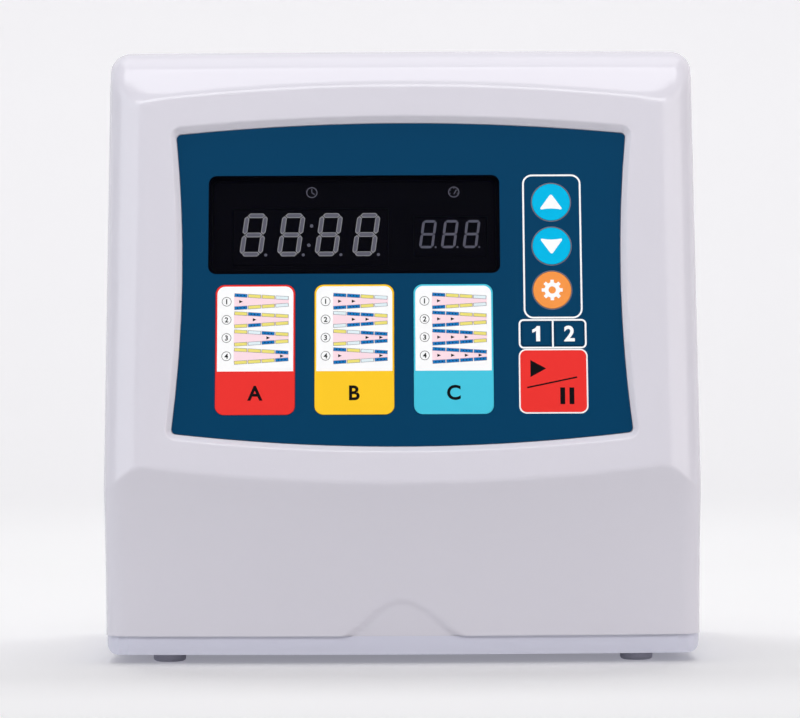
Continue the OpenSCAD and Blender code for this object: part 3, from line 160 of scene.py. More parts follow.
WHITE = surface("White_ABS", srgb(216, 213, 222), 0.16, 0.03, 0.008, 1400, 0.012, 9)
# base tray: the housing's white ABS made a little darker and bluer, painted shade for the band
# tucked under the housing's lip near the floor
TRAY_SHADED = surface("White_ABS_Base_Shaded", srgb(209, 209, 224), 0.2, 0.03, 0.008, 1400, 0.012, 9)
REAR = surface("White_ABS_Textured", srgb(214, 211, 220), 0.42, 0.06, 0.01, 900, 0.16, 9)
FOOT = surface("Foot_Rubber", srgb(196, 195, 212), 0.7, 0.08, 0.06, 500, 0.2)
BLACK = surface("Black_Nylon", srgb(24, 24, 27), 0.45, 0.06, 0.1, 700, 0.12)
FILM = film("Overlay_Film", srgb(3, 61, 96), 0.02, 8, 0.05)
RED = film("Film_Red", srgb(236, 53, 49))
YELLOW = film("Film_Yellow", srgb(255, 203, 42))
CYAN = film("Film_Cyan", srgb(72, 198, 223))
AQUA = film("Film_Aqua", srgb(0, 184, 230))
ORANGE = film("Film_Orange", srgb(247, 152, 74))
PAPER = ink("Print_White", srgb(252, 252, 252), 0.005)
INK = ink("Print_Black", srgb(12, 12, 16), 0.05)
GREY_INK = ink("Print_Grey", srgb(120, 118, 132), 0.05)
PINK = ink("Print_Pink", srgb(252, 222, 230), 0.01)
LEMON = ink("Print_Lemon", srgb(238, 226, 120), 0.01)
BLUE = ink("Print_Blue", srgb(16, 118, 190), 0.02)
PALE = ink("Print_Pale", srgb(226, 240, 244), 0.01)
PANE = surface("Smoked_Pane", srgb(1, 1, 10), 0.12, 0.02, 0.05, 300, 0.0, 10, alpha=0.26,
               shine=0.1)
MASK = surface("Display_Black", srgb(2, 2, 12), 0.5, 0.05, 0.05, 900, 0.02, shine=0.08)
SEGMENT = surface("Segment", srgb(158, 158, 180), 0.4, 0.05, 0.1, 700, 0.05, 300)
# near-white rims of the time digits' segments: a painted highlight along the segment edges
SEGMENT_RIM_HIGHLIGHT = surface("Segment_Rim_Highlight", srgb(244, 244, 255), 0.4, 0.05, 0.1, 700, 0.05, 300)
SEGMENT_DIM = surface("Segment_Dim", srgb(150, 150, 172), 0.4, 0.05, 0.15, 700, 0.05, 300)
BOARD = surface("Circuit_Board", srgb(28, 92, 52), 0.35, 0.06, 0.12, 260, 0.1, 120, coat=0.2)
STEEL = surface("Zinc_Plate", srgb(190, 192, 198), 0.32, 0.06, 0.05, 400, 0.06, 40, metal=1)
NICKEL = surface("Nickel", srgb(200, 198, 192), 0.22, 0.05, 0.04, 500, 0.04, 40, metal=1)
IRON = surface("Laminations", srgb(96, 96, 102), 0.5, 0.08, 0.1, 500, 0.25, 30, 0.8,
               stretch=(0.1, 0.1, 4))
ALLOY = surface("Die_Cast", srgb(186, 188, 192), 0.45, 0.07, 0.05, 600, 0.15, 30, metal=1)
COPPER = surface("Taped_Winding", srgb(186, 112, 58), 0.45, 0.08, 0.12, 220, 0.3, 60,
                 stretch=(1, 1, 6))
BRASS = surface("Turned_Brass", srgb(206, 168, 92), 0.28, 0.06, 0.06, 500, 0.06, 40, metal=1)
RUBBER = surface("EPDM", srgb(40, 40, 42), 0.65, 0.08, 0.1, 600, 0.15)
FELT = surface("Pressed_Felt", srgb(206, 200, 184), 0.9, 0.05, 0.1, 900, 0.6, 60)
NYLON = surface("Natural_Nylon", srgb(216, 215, 208), 0.42, 0.06, 0.03, 700, 0.1)
COIL = surface("Moulded_Coil", srgb(48, 54, 120), 0.35, 0.06, 0.06, 600, 0.1)
HOSE = surface("Silicone_Hose", srgb(222, 226, 228), 0.38, 0.06, 0.03, 300, 0.08)
SOCKET = surface("Socket_ABS", srgb(112, 114, 122), 0.4, 0.06, 0.05, 900, 0.14)
RIBBON = surface("Ribbon_PVC", srgb(160, 160, 166), 0.45, 0.06, 0.05, 900, 0.3,
                 stretch=(3, 0.1, 0.1))
LEAD = surface("Lead_PVC", srgb(122, 78, 44), 0.4, 0.06, 0.08, 500, 0.1)
ROCKER = surface("Rocker_Red", srgb(196, 26, 20), 0.2, 0.04, 0.05, 600, 0.03)

finishes = {
    "rubber_feet": FOOT, "base_tray": TRAY_SHADED, "rear_panel": REAR, "panel_overlay": FILM,
    "keypad_backer": MASK, "display_window": PANE, "display_board": BOARD, "main_board": BOARD,
    "tact_switches": BLACK, "key_mode_a": RED, "key_mode_b": YELLOW, "key_mode_c": CYAN,
    "key_up": AQUA, "key_down": AQUA, "key_setting": ORANGE, "key_outlet_1": FILM,
    "key_outlet_2": FILM, "key_start_pause": RED, "board_components": BLACK,
    "ribbon_cable": RIBBON, "power_wiring": LEAD, "transformer_core": IRON, "pump_cores": IRON,
    "transformer_coil": COPPER, "pump_coils": COPPER, "transformer_bracket": STEEL,
    "pump_frame": ALLOY, "pump_armature": NICKEL, "pump_diaphragms": RUBBER,
    "pump_heads": BLACK, "pump_mounts": RUBBER, "intake_filter": FELT,
    "valve_manifold": NYLON, "valve_coils": COIL, "valve_springs": STEEL,
    "pressure_sensor": BLACK, "relief_valve": BRASS, "supply_hose": HOSE,
    "outlet_hoses": HOSE, "sensor_hose": HOSE, "outlet_socket_1": SOCKET,
    "outlet_socket_2": SOCKET, "mains_inlet": BLACK, "inlet_rivets": NICKEL,
    "fuse_drawer": BLACK, "fuses": NICKEL, "switch_frame": BLACK, "switch_rocker": ROCKER,
    "base_screws": STEEL, "rear_screws": STEEL, "board_screws": STEEL,
    **{"valve_plunger_%d" % i: NICKEL for i in (1, 2, 3, 4)}}
for node, finish in finishes.items():
    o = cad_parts[node]
    o.data.materials.clear()
    o.data.materials.append(finish)

# ---------- Making pieces ----------

def piece(name, verts, faces, materials, body="housing", index=None, smooth=False):
    """A mesh piece from points in millimetres."""
    mesh = bpy.data.meshes.new(name)
    mesh.from_pydata([tuple(c * MM for c in v) for v in verts], [], faces)
    for m in materials if isinstance(materials, (list, tuple)) else [materials]:
        mesh.materials.append(m)
    if index is not None:
        mesh.polygons.foreach_set("material_index", index)
    if smooth:
        mesh.polygons.foreach_set("use_smooth", [True] * len(mesh.polygons))
    mesh.update()
    o = bpy.data.objects.new(name, mesh)
    bpy.context.scene.collection.objects.link(o)
    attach(o, body)
    return o


def on_bezel(x, v, w):
    """A point up the slope v and outward w of the bezel plane."""
    return (x, FRONT_Y + v * math.sin(LEAN) - w * math.cos(LEAN),
            CHIN_Z + v * math.cos(LEAN) + w * math.sin(LEAN))


def apply_modifiers(o):
    dg = bpy.context.evaluated_depsgraph_get()
    mesh = bpy.data.meshes.new_from_object(o.evaluated_get(dg))
    o.modifiers.clear()
    o.data = mesh


# ---------- Housing shell ----------

def smax(a, b, k):
    """The greater of two, rounded over where they differ by less than k."""
    return np.maximum(a, b) + np.maximum(k - np.abs(a - b), 0) ** 2 / (4 * k)


def bow(x):
    """Set-back of the lower face and the brow toward the sides."""
    return BOW * (x / BEZEL_HALF) ** 2


def undercut(h):
    """Set-back of the lower face at h below the chin, steepest at the chin."""
    return math.tan(UNDERCUT) * np.where(h < 0, h, h - h * h / (2 * LOWER_H))


def inset(x, z):
    """How far a point lies inside the rounded outline seen from the front."""
    qx, qz = np.abs(x) - (HALF_W - CORNER_R), z - (TOP_Z - CORNER_R)
    return (CORNER_R - np.hypot(np.maximum(qx, 0), np.maximum(qz, 0))
            - np.minimum(np.maximum(qx, qz), 0))


def roll(e, r):
    """Set-back of an edge of radius r at the distance e from the outline."""
    e = np.clip(e, 0, r)
    return r - np.sqrt(r * r - (r - e) ** 2)


def faces_y(x, z):
    """Depth of the front: bezel, side bevels, lower face and brow, blended at their creases,
    the brow's more softly toward its mitres."""
    bezel = FRONT_Y + (z - CHIN_Z) * math.tan(LEAN)
    side = bezel + math.tan(BEVEL) * (np.abs(x) - BEZEL_HALF)
    lower = FRONT_Y + bow(x) + undercut(CHIN_Z - z)
    brow = BROW_Y + bow(x) + (z - BROW_Z) * math.tan(BROW_LEAN)
    wide = np.clip((np.abs(x) - MITRE_X) / MITRE_W, 0, 1)
    return smax(smax(smax(bezel, side, SIDE_BLEND), lower, LOW_BLEND), brow,
                BROW_BLEND + SIDE_BLEND * wide * wide)


def outer_y(x, z):
    return faces_y(x, z) + roll(inset(x, z), EDGE_R)


def scooped(x, z):
    """Outer surface with the bell-shaped finger scoop pressed into it: as deep as the band at
    the base tray, shallow at the bell's top, and with a soft edge."""
    shallow, soft = 0.45, 1.1
    edge = BASE_TOP + SCOOP_H * np.cos(np.clip(np.abs(x) / SCOOP_W, 0, 1) * math.pi / 2) ** 1.4
    up = np.clip((z - BASE_TOP) / SCOOP_H, 0, 1)
    drop = (shallow + (BAND_INSET - shallow) * (1 - up) ** 2) * (np.abs(x) < SCOOP_W)
    inside = np.clip((edge - z) / soft, 0, 1)
    return outer_y(x, z) + drop * inside * inside * (3 - 2 * inside)


def inner_y(x, z):
    return faces_y(x, z) + WALL + roll(inset(x, z) - WALL, EDGE_R - WALL)


N_EDGE, N_CORNER, N_SIDE, N_LOW, N_TOP = 96, 16, 48, 64, 56
bevel_d = math.tan(BEVEL) * (HALF_W - BEZEL_HALF) - float(bow(HALF_W))
MITRE_LOW = CHIN_Z - bevel_d / (math.tan(LEAN) + math.tan(UNDERCUT))
MITRE_HIGH = BROW_Z + bevel_d / (math.tan(BROW_LEAN) - math.tan(LEAN))


def half_ring(waist, flare, bottom, rise, top, drop, rb, rt, taper=0.0):
    """Right half of a waisted ring with a bowed top and bottom, from its lowest point up."""
    def flare_at(v):
        t = (2 * v - bottom - top) / (top - bottom)
        return waist + flare * t * t - taper / 2 * t
    xb = flare_at(bottom + rise + rb) - rb
    xt = flare_at(top - drop - rt) - rt
    vb = bottom + rise * (xb / (xb + rb)) ** 2 + rb
    vt = top - drop * (xt / (xt + rt)) ** 2 - rt
    out = [(xb * i / N_EDGE, bottom + rise * (xb * i / N_EDGE / (xb + rb)) ** 2)
           for i in range(N_EDGE + 1)]
    for i in range(1, N_CORNER + 1):
        a = math.pi / 2 * i / N_CORNER - math.pi / 2
        out.append((xb + rb * math.cos(a), vb + rb * math.sin(a)))
    for i in range(1, N_SIDE + 1):
        v = vb + (vt - vb) * i / N_SIDE
        out.append((flare_at(v), v))
    for i in range(1, N_CORNER + 1):
        a = math.pi / 2 * i / N_CORNER
        out.append((xt + rt * math.cos(a), vt + rt * math.sin(a)))
    for i in range(1, N_EDGE + 1):
        x = xt * (N_EDGE - i) / N_EDGE
        out.append((x, top - drop * (x / (xt + rt)) ** 2))
    return out


def half_outline(g, bottom):
    """Right half of the body's outline, g inside it, with points matched to the crease's."""
    w, top = HALF_W - g, TOP_Z - g
    r = max(CORNER_R - g, 2)
    zone = 4
    low = MITRE_LOW - zone / 2
    high = min(MITRE_HIGH + zone / 2, top - r - 0.5)
    arc = N_EDGE - N_TOP
    out = [(w * i / N_LOW, bottom) for i in range(N_LOW + 1)]
    n = N_EDGE - N_LOW
    out += [(w, bottom + (low - bottom) * i / n) for i in range(1, n + 1)]
    out += [(w, low + zone * i / N_CORNER) for i in range(1, N_CORNER + 1)]
    out += [(w, low + zone + (high - 2 * zone - low) * i / N_SIDE)
            for i in range(1, N_SIDE + 1)]
    out += [(w, high - zone + zone * i / N_CORNER) for i in range(1, N_CORNER + 1)]
    for i in range(1, arc + 1):
        a = math.pi / 2 * i / arc
        out.append((w - r + r * math.cos(a), top - r + r * math.sin(a)))
    out += [((w - r) * (N_TOP - i) / N_TOP, top) for i in range(1, N_TOP + 1)]
    return out


def full(h):
    """A whole ring from its right half."""
    return np.array(list(h) + [(-x, z) for x, z in h[-2:0:-1]])


def overlay_half(g):
    r = max(OVERLAY["r"] + g, 0.5)
    return half_ring(OVERLAY["waist"] + g, OVERLAY["flare"], OVERLAY["bottom"] - g,
                     OVERLAY["rise"], OVERLAY["top"] + g, OVERLAY["drop"], r, r,
                     OVERLAY["taper"])


def crease_half(g):
    r = CREASE_R - g / 2
    return half_ring(BEZEL_HALF - g, 0, CHIN_Z + g,
                     BOW / (math.tan(LEAN) + math.tan(UNDERCUT)), BROW_Z - g,
                     BOW / (math.tan(BROW_LEAN) - math.tan(LEAN)), r, r)


def panel_ring(g, w):
    return np.array([on_bezel(x, v, w) for x, v in full(overlay_half(g))])


def flat_ring(g, y, bottom):
    q = full(half_outline(g, bottom))
    return np.column_stack([q[:, 0], np.full(len(q), y), q[:, 1]])


def lift(q, f):
    return np.column_stack([q[:, 0], f(q[:, 0], q[:, 1]), q[:, 1]])


def housing():
    """The moulded shell: rings out over the front, round the rear rim and back inside."""
    bottom, lip_r = BASE_TOP - 3, 1.6
    crease, outline = full(crease_half(0)), full(half_outline(0, bottom))
    crease_in, outline_in = full(crease_half(WALL)), full(half_outline(WALL, bottom + 1))
    rings = [panel_ring(-4, FACE_W - OVERLAY_T), panel_ring(FIT, FACE_W - OVERLAY_T),
             panel_ring(FIT, FACE_W - 0.1), panel_ring(FIT + 0.1, FACE_W)]
    # rounded lip of the recess
    for k in range(9):
        a = math.pi / 4 * (1 - k / 8)
        rings.append(panel_ring(
            FIT + RECESS + lip_r * (math.tan(math.pi / 8) - math.sin(a)),
            -lip_r * (1 - math.cos(a))))
    for g in (9, 7.5, 6, 5, 4, 3, 2, 1):
        rings.append(lift(full(crease_half(g)), scooped))
    steps = [0, .008, .016, .026, .04, .06, .085, .12, .16, .2, .25, .3, .35, .4, .45, .5, .55,
             .6, .64, .68, .71, .74, .755, .77, .785, .8, .815, .83, .845, .86, .875, .89, .905,
             .92, .935, .95, .963, .975, .985, .992, .997, 1]
    for t in steps:
        rings.append(lift(crease + (outline - crease) * t, scooped))
    for a in np.linspace(0, math.pi / 2, 10):
        rings.append(flat_ring(REAR_R * (1 - math.cos(a)), BACK_Y - REAR_R * (1 - math.sin(a)),
                               bottom))
    rings += [flat_ring(REAR_R, FLANGE_Y, bottom), flat_ring(14, FLANGE_Y, bottom + 4),
              flat_ring(14, FLANGE_Y - 3, bottom + 4), flat_ring(WALL, FLANGE_Y - 9, bottom + 1)]
    for t in (1, .96, .9, .8, .6, .35, .15, 0):
        rings.append(lift(crease_in + (outline_in - crease_in) * t, inner_y))
    rings += [panel_ring(FIT + RECESS + WALL, -WALL),
              panel_ring(FIT + WALL, FACE_W - OVERLAY_T - LEDGE_T),
              panel_ring(-4, FACE_W - OVERLAY_T - LEDGE_T)]
    n, k = len(rings[0]), len(rings)
    verts = np.vstack(rings)
    faces = []
    for j in range(k):
        for i in range(n):
            a, b = j * n + i, j * n + (i + 1) % n
            c, d = ((j + 1) % k) * n + i, ((j + 1) % k) * n + (i + 1) % n
            faces.append((a, b, d, c))
    o = piece("housing_shell", verts, faces, WHITE, smooth=True)
    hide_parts("top_housing")
    return o


def rounded(w, h, r, n=8):
    out = []
    for sx, sy, a0 in ((1, 1, 0), (-1, 1, 90), (-1, -1, 180), (1, -1, 270)):
        for i in range(n + 1):
            a = math.radians(a0 + 90 * i / n)
            out.append((sx * (w / 2 - r) + r * math.cos(a), sy * (h / 2 - r) + r * math.sin(a)))
    return out


def prism(name, outline, at, u, v, n, depth):
    """A closed prism used as a cutter: outline in the plane of u and v, drawn along n."""
    at, u, v, n = (np.array(a, float) for a in (at, u, v, n))
    low = [at + u * a + v * b for a, b in outline]
    high = [p + n * depth for p in low]
    k = len(low)
    faces = [list(range(k))[::-1], list(range(k, 2 * k))]
    faces += [(i, (i + 1) % k, k + (i + 1) % k, k + i) for i in range(k)]
    mesh = bpy.data.meshes.new(name)
    mesh.from_pydata([tuple(p * MM) for p in low + high], [], faces)
    bm = bmesh.new()
    bm.from_mesh(mesh)
    bmesh.ops.recalc_face_normals(bm, faces=bm.faces)
    bm.to_mesh(mesh)
    bm.free()
    o = bpy.data.objects.new(name, mesh)
    bpy.context.scene.collection.objects.link(o)
    return o


shell = housing()
cutters = [prism("cut_bottom", rounded(400, 400, 1), (0, 0, BASE_TOP - 40),
                 (1, 0, 0), (0, 1, 0), (0, 0, 1), 40)]
for y in SOCKET_YS:
    for size, r, depth in ((SOCKET_FLANGE, 4, 1.2), (SOCKET_BODY, 3, 8)):
        cutters.append(prism("cut", rounded(size, size, r), (HALF_W - depth, y, SOCKET_Z),
                             (0, 1, 0), (0, 0, 1), (1, 0, 0), 10))
for c in cutters:
    m = shell.modifiers.new("cut", "BOOLEAN")
    m.operation, m.solver, m.object = "DIFFERENCE", "EXACT", c
apply_modifiers(shell)
for c in cutters:
    bpy.data.objects.remove(c, do_unlink=True)
m = shell.modifiers.new("edges", "BEVEL")
m.width, m.segments, m.limit_method, m.angle_limit = 0.0008, 4, "ANGLE", math.radians(50)
apply_modifiers(shell)

# ---------- Printed overlay ----------

INKS = [PAPER, INK, GREY_INK, PINK, LEMON, BLUE, PALE, SEGMENT, SEGMENT_RIM_HIGHLIGHT, SEGMENT_DIM, MASK]
(P_WHITE, P_BLACK, P_GREY, P_PINK, P_LEMON, P_BLUE, P_PALE, P_SEG, P_RIM_HIGHLIGHT, P_DIM,
 P_MASK) = range(len(INKS))
KEY_X, ROUND_VS = 69.4, {"key_up": 132.1, "key_down": 111.2, "key_setting": 90.3}
OUTLET_V = 69.7
CARD_X, CARD_PITCH = -67.25, 45.5


class Print:
    """Flat ink shapes on the panel, each a thin layer on what lies below it."""

    def __init__(self, w, step=0.02):
        self.w, self.step = w, step
        self.verts, self.faces, self.index = [], [], []

    def add(self, outline, ink_at, layer=0, holes=()):
        """Fills an outline of (x, v) points, less its holes."""
        loops = [list(outline)] + [list(h) for h in holes]
        w1 = self.w + self.step * (layer + 1)
        bm = bmesh.new()
        edges = []
        for loop in loops:
            vs = [bm.verts.new((x, v, 0)) for x, v in loop]
            edges += [bm.edges.new((a, b)) for a, b in zip(vs, vs[1:] + vs[:1])]
        bmesh.ops.triangle_fill(bm, use_beauty=True, use_dissolve=False, edges=edges)
        bm.verts.index_update()
        base = len(self.verts)
        self.verts += [on_bezel(v.co.x, v.co.y, w1) for v in bm.verts]
        for f in bm.faces:
            ids = [base + v.index for v in f.verts]
            if f.normal.z < 0:
                ids.reverse()
            self.faces.append(ids)
            self.index.append(ink_at)
        bm.free()
        # sides down to the surface below
        for loop in loops:
            k = len(loop)
            top = len(self.verts)
            self.verts += [on_bezel(x, v, w1) for x, v in loop]
            self.verts += [on_bezel(x, v, self.w - 0.01) for x, v in loop]
            for i in range(k):
                j = (i + 1) % k
                self.faces.append((top + i, top + k + i, top + k + j, top + j))
                self.index.append(ink_at)

    def build(self, name, body="housing"):
        return piece(name, self.verts, self.faces, INKS, body, self.index)


def move(outline, x, v):
    return [(x + a, v + b) for a, b in outline]


def ring_of(r, n=48):
    return [(r * math.cos(2 * math.pi * i / n), r * math.sin(2 * math.pi * i / n))
            for i in range(n)]


def stroke(points, t):
    """Outline of an open line of thickness t with square ends and mitred elbows."""
    left, right = [], []
    for i, p in enumerate(points):
        d = []
        for a, b in ((i - 1, i), (i, i + 1)):
            if a >= 0 and b < len(points):
                u = (points[b][0] - points[a][0], points[b][1] - points[a][1])
                k = math.hypot(*u)
                d.append((u[0] / k, u[1] / k))
        u = (sum(c[0] for c in d), sum(c[1] for c in d))
        k = math.hypot(*u)
        n = (-u[1] / k, u[0] / k)
        m = t / 2 / max(0.3, n[0] * -d[0][1] + n[1] * d[0][0])
        left.append((p[0] + n[0] * m, p[1] + n[1] * m))
        right.append((p[0] - n[0] * m, p[1] - n[1] * m))
    return right + left[::-1]


def glyphs(text, size, bold=0.0):
    """Faces of a short text, centred on the origin, as lists of (x, v) points."""
    curve = bpy.data.curves.new("glyph", "FONT")
    curve.body, curve.size, curve.offset = text, size, bold
    curve.align_x, curve.align_y = "CENTER", "CENTER"
    curve.resolution_u = 4
    o = bpy.data.objects.new("glyph", curve)
    bpy.context.scene.collection.objects.link(o)
    mesh = bpy.data.meshes.new_from_object(
        o.evaluated_get(bpy.context.evaluated_depsgraph_get()))
    bpy.data.objects.remove(o, do_unlink=True)
    bm = bmesh.new()
    bm.from_mesh(mesh)
    bmesh.ops.remove_doubles(bm, verts=bm.verts, dist=1e-5)
    lo = [min(v.co[i] for v in bm.verts) for i in (0, 1)]
    hi = [max(v.co[i] for v in bm.verts) for i in (0, 1)]
    tris = [[(v.co.x - (lo[0] + hi[0]) / 2, v.co.y - (lo[1] + hi[1]) / 2) for v in f.verts]
            for f in bm.faces]
    bm.free()
    return tris


def write(sheet, text, x, v, size, ink_at, layer=0, bold=0.0):
    w1 = sheet.w + sheet.step * (layer + 1)
    for tri in glyphs(text, size, bold):
        base = len(sheet.verts)
        sheet.verts += [on_bezel(x + a, v + b, w1) for a, b in tri]
        sheet.faces.append(tuple(range(base, base + len(tri))))
        sheet.index.append(ink_at)


def frame_line(sheet, x, v, w, h, r, t):
    """A white rounded frame of thickness t, its middle line w wide and h high."""
    sheet.add(move(rounded(w + t, h + t, r + t / 2), x, v), P_WHITE,
              holes=[move(rounded(w - t, h - t, r - t / 2), x, v)])


def circle_line(sheet, x, v, r, hole, ink_at, layer=0, n=48):
    sheet.add(move(ring_of(r, n), x, v), ink_at, layer, holes=[move(ring_of(hole, n), x, v)])


overlay = Print(FACE_W)
frame_line(overlay, 69.7, 111.15, 26.3, 67.7, 4.1, 0.8)
frame_line(overlay, 69.3, OUTLET_V, 30.35, 13.0, 1.9, 0.8)
overlay.add([(69.0, 63.4), (69.8, 63.4), (69.8, 76.0), (69.0, 76.0)], P_WHITE)
frame_line(overlay, KEY_X, 47.5, 30.9, 29.5, 3.1, 0.7)
for v in ROUND_VS.values():
    circle_line(overlay, KEY_X, v, 9.3, 8.9, P_GREY)
overlay.build("overlay_print")

sheet = Print(CAP_W)
one = [(0.1, -3.55), (1.95, -3.55), (1.95, 3.6), (0.5, 3.6), (-0.3, 2.6), (-1.65, 1.95),
       (-1.65, 0.45), (-0.6, 0.85), (0.1, 1.35)]
sheet.add(move(one, 61.6, OUTLET_V), P_WHITE)
sheet.build("key_outlet_1_print", "key_outlet_1")
sheet = Print(CAP_W)
write(sheet, "2", 77.0, OUTLET_V + 0.05, 9.9, P_WHITE, bold=0.3)
sheet.build("key_outlet_2_print", "key_outlet_2")

# arrows with a slightly hollow base
arrow = [(-5.0, -2.9), (-4.6, -3.5), (-2.4, -3.15), (0, -3.0), (2.4, -3.15), (4.6, -3.5),
         (5.0, -2.9), (0.5, 3.4), (0, 3.6), (-0.5, 3.4)]
for node, s in (("key_up", 1), ("key_down", -1)):
    sheet = Print(CAP_W)
    pts = [(KEY_X + a, ROUND_VS[node] + s * b) for a, b in arrow]
    sheet.add(pts if s > 0 else pts[::-1], P_WHITE)
    sheet.build(node + "_print", node)

# a plain cog on the setting key
sheet = Print(CAP_W)
cog = []
for i in range(8):
    for da, r in ((-14, 3.6), (-9, 4.9), (9, 4.9), (14, 3.6)):
        a = math.radians(45 * i + da)
        cog.append((r * math.cos(a), r * math.sin(a)))
at = (KEY_X, ROUND_VS["key_setting"])
sheet.add(move(cog, *at), P_WHITE, holes=[move(ring_of(1.7, 24), *at)])
sheet.build("key_setting_print", "key_setting")

# play and pause marks either side of a slanted line
sheet = Print(CAP_W)
sheet.add(move([(-3.3, -4.0), (3.9, 0), (-3.3, 4.0)], 62.2, 53.4), P_BLACK)
sheet.add(stroke([(57.3, 44.5), (80.2, 49.3)], 0.7), P_BLACK)
for dx in (-2.1, 2.1):
    sheet.add(move(rounded(2.2, 7.8, 0.2), 75.6 + dx, 40.6), P_BLACK)
sheet.build("key_start_pause_print", "key_start_pause")


def chamber(sheet, a, b, ink_at, t=1.7):
    """One air chamber of a sleeve: a short strip with a thin dark line round it."""
    sheet.add(stroke([a, b], t), P_GREY, 1)
    k = math.dist(a, b)
    u = ((b[0] - a[0]) / k * 0.22, (b[1] - a[1]) / k * 0.22)
    sheet.add(stroke([(a[0] + u[0], a[1] + u[1]), (b[0] - u[0], b[1] - u[1])], t - 0.36),
              ink_at, 2)
    if ink_at == P_BLUE:
        for f in (0.25, 0.5, 0.75):
            p = (a[0] + (b[0] - a[0]) * f, a[1] + (b[1] - a[1]) * f)
            sheet.add(move(rounded(0.5, 0.5, 0.1, 2), *p), P_BLACK, 3)


SEQUENCES = {
    "key_mode_a": ("red", [(0,), (1,), (2,), (3,)]),
    "key_mode_b": ("yellow", [(0, 1), (1, 2), (2, 3), (3, 0)]),
    "key_mode_c": ("cyan", [(0,), (0, 1), (0, 1, 2), (0, 1, 2, 3)])}
for k, (node, (tone, rows)) in enumerate(SEQUENCES.items()):
    x0 = CARD_X + CARD_PITCH * k
    sheet = Print(CAP_W)
    # white field with round upper corners above the coloured label
    w, lo, hi, r = 34.9, 52.6, 92.5, 3.6
    field = [(x0 - w / 2, lo), (x0 + w / 2, lo)]
    for sx, a0 in ((1, 0), (-1, 90)):
        for i in range(9):
            a = math.radians(a0 + 90 * i / 8)
            field.append((x0 + sx * (w / 2 - r) + r * math.cos(a), hi - r + r * math.sin(a)))
    sheet.add(field, P_WHITE)
    # four numbered steps, each a tapered sleeve of four chambers around a pink limb
    for row, active in enumerate(rows):
        v0 = 85.4 - 8.55 * row
        circle_line(sheet, x0 - 13.2, v0, 2.2, 1.97, P_BLACK, 1, 32)
        write(sheet, str(row + 1), x0 - 13.2, v0, 3.3, P_BLACK, 1, 0.09)
        xs = [x0 - 9.8 + 6.3 * i for i in range(5)]
        hs = [3.1, 2.75, 2.35, 1.95, 1.55]
        sheet.add([(xs[0], v0 - hs[0]), (xs[4], v0 - hs[4]), (xs[4], v0 + hs[4]),
                   (xs[0], v0 + hs[0])], P_PINK, 0.5)
        for i in range(4):
            if i in active:
                ink_at = P_BLUE
                mid = (xs[i] + xs[i + 1]) / 2
                sheet.add([(mid - 0.8, v0 - 0.75), (mid + 0.9, v0), (mid - 0.8, v0 + 0.75)],
                          P_BLACK, 1)
            elif i == (active[-1] + 1) % 4:
                ink_at = P_LEMON
            elif len(active) > 1 and i < active[0]:
                ink_at = P_PALE
            else:
                ink_at = P_LEMON if (i + row) % 3 else P_PALE
            for s in (-1, 1):
                chamber(sheet, (xs[i] + 0.15, v0 + s * hs[i]),
                        (xs[i + 1] - 0.15, v0 + s * hs[i + 1]), ink_at)
    write(sheet, "ABC"[k], x0, 42.4, 9.4, P_BLACK, 0, 0.25)
    sheet.build(node + "_print", node)

# ---------- Display ----------

DIGIT_RISE, DIGIT_SHIFT = 1.15, -0.3
MODULE_V, MODULE_BACK, MODULE_FACE = 116.9, -15.6, -6.65
TIME_X, TIME_SIZE, TIME_PITCH = -42, (72, 27), 17.4
PRESSURE_X, PRESSURE_SIZE, PRESSURE_PITCH = 22.8, (34, 19), 10.1
MASK_W, MARK_W, INNER_STEP = -6.9, -6.84, 0.05
CLOCK_X, GAUGE_X, MARK_V = -41.5, 24.5, 138.3


def segment_outline(length, t):
    return [(-length / 2, 0), (-length / 2 + t / 2, t / 2), (length / 2 - t / 2, t / 2),
            (length / 2, 0), (length / 2 - t / 2, -t / 2), (-length / 2 + t / 2, -t / 2)]


def digit(sheet, x, v, h, t, width, inks, slant=8):
    """One unlit seven-segment digit: each segment is a pale rim, a painted highlight along its
    edges, round a darker core.
    """
    k = math.tan(math.radians(slant))
    w, r = h * width, (h - t) / 2
    gap = 0.22 * t
    places = [(0, y, 0, w - t - gap) for y in (-r, 0, r)]
    places += [(sx * (w - t) / 2, sy * r / 2, 90, r - gap) for sx in (-1, 1) for sy in (-1, 1)]
    for cx, cy, turn, length in places:
        for grow, ink_at, layer in ((0, inks[0], 0), (-0.32 * t, inks[1], 1)):
            pts = []
            for a, b in segment_outline(length + grow * 1.6, t + grow):
                if turn:
                    a, b = -b, a
                pts.append((x + cx + a + (cy + b) * k, v + cy + b))
            sheet.add(pts, ink_at, layer)


def module(name, node, x, size, digits, pitch, h, t, width, inks, dots):
    """The block of a display, which stands for its node, with its digits and dots on it."""
    v, edge = MODULE_V, 0.3
    ring = rounded(size[0], size[1], 0.6, 3)
    verts, faces = [], []
    for w, g in ((MODULE_BACK, 0), (MODULE_FACE - edge, 0), (MODULE_FACE, edge)):
        verts += [on_bezel(x + a * (1 - 2 * g / size[0]), v + b * (1 - 2 * g / size[1]), w)
                  for a, b in ring]
    n = len(ring)
    faces.append(list(range(n))[::-1])
    faces.append(list(range(2 * n, 3 * n)))
    for j in (0, 1):
        faces += [(j * n + i, j * n + (i + 1) % n, (j + 1) * n + (i + 1) % n, (j + 1) * n + i)
                  for i in range(n)]
    body = piece(name, verts, faces, MASK)
    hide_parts(node)
    sheet = Print(MODULE_FACE, INNER_STEP)
    for i in range(digits):
        digit(sheet, x + (i - (digits - 1) / 2) * pitch + DIGIT_SHIFT, v + DIGIT_RISE,
              h, t, width, inks)
    for dx, dv, r in dots:
        sheet.add(move(ring_of(r, 16), x + dx + DIGIT_SHIFT, v + dv + DIGIT_RISE), inks[1])
    sheet.build(name + "_segments")


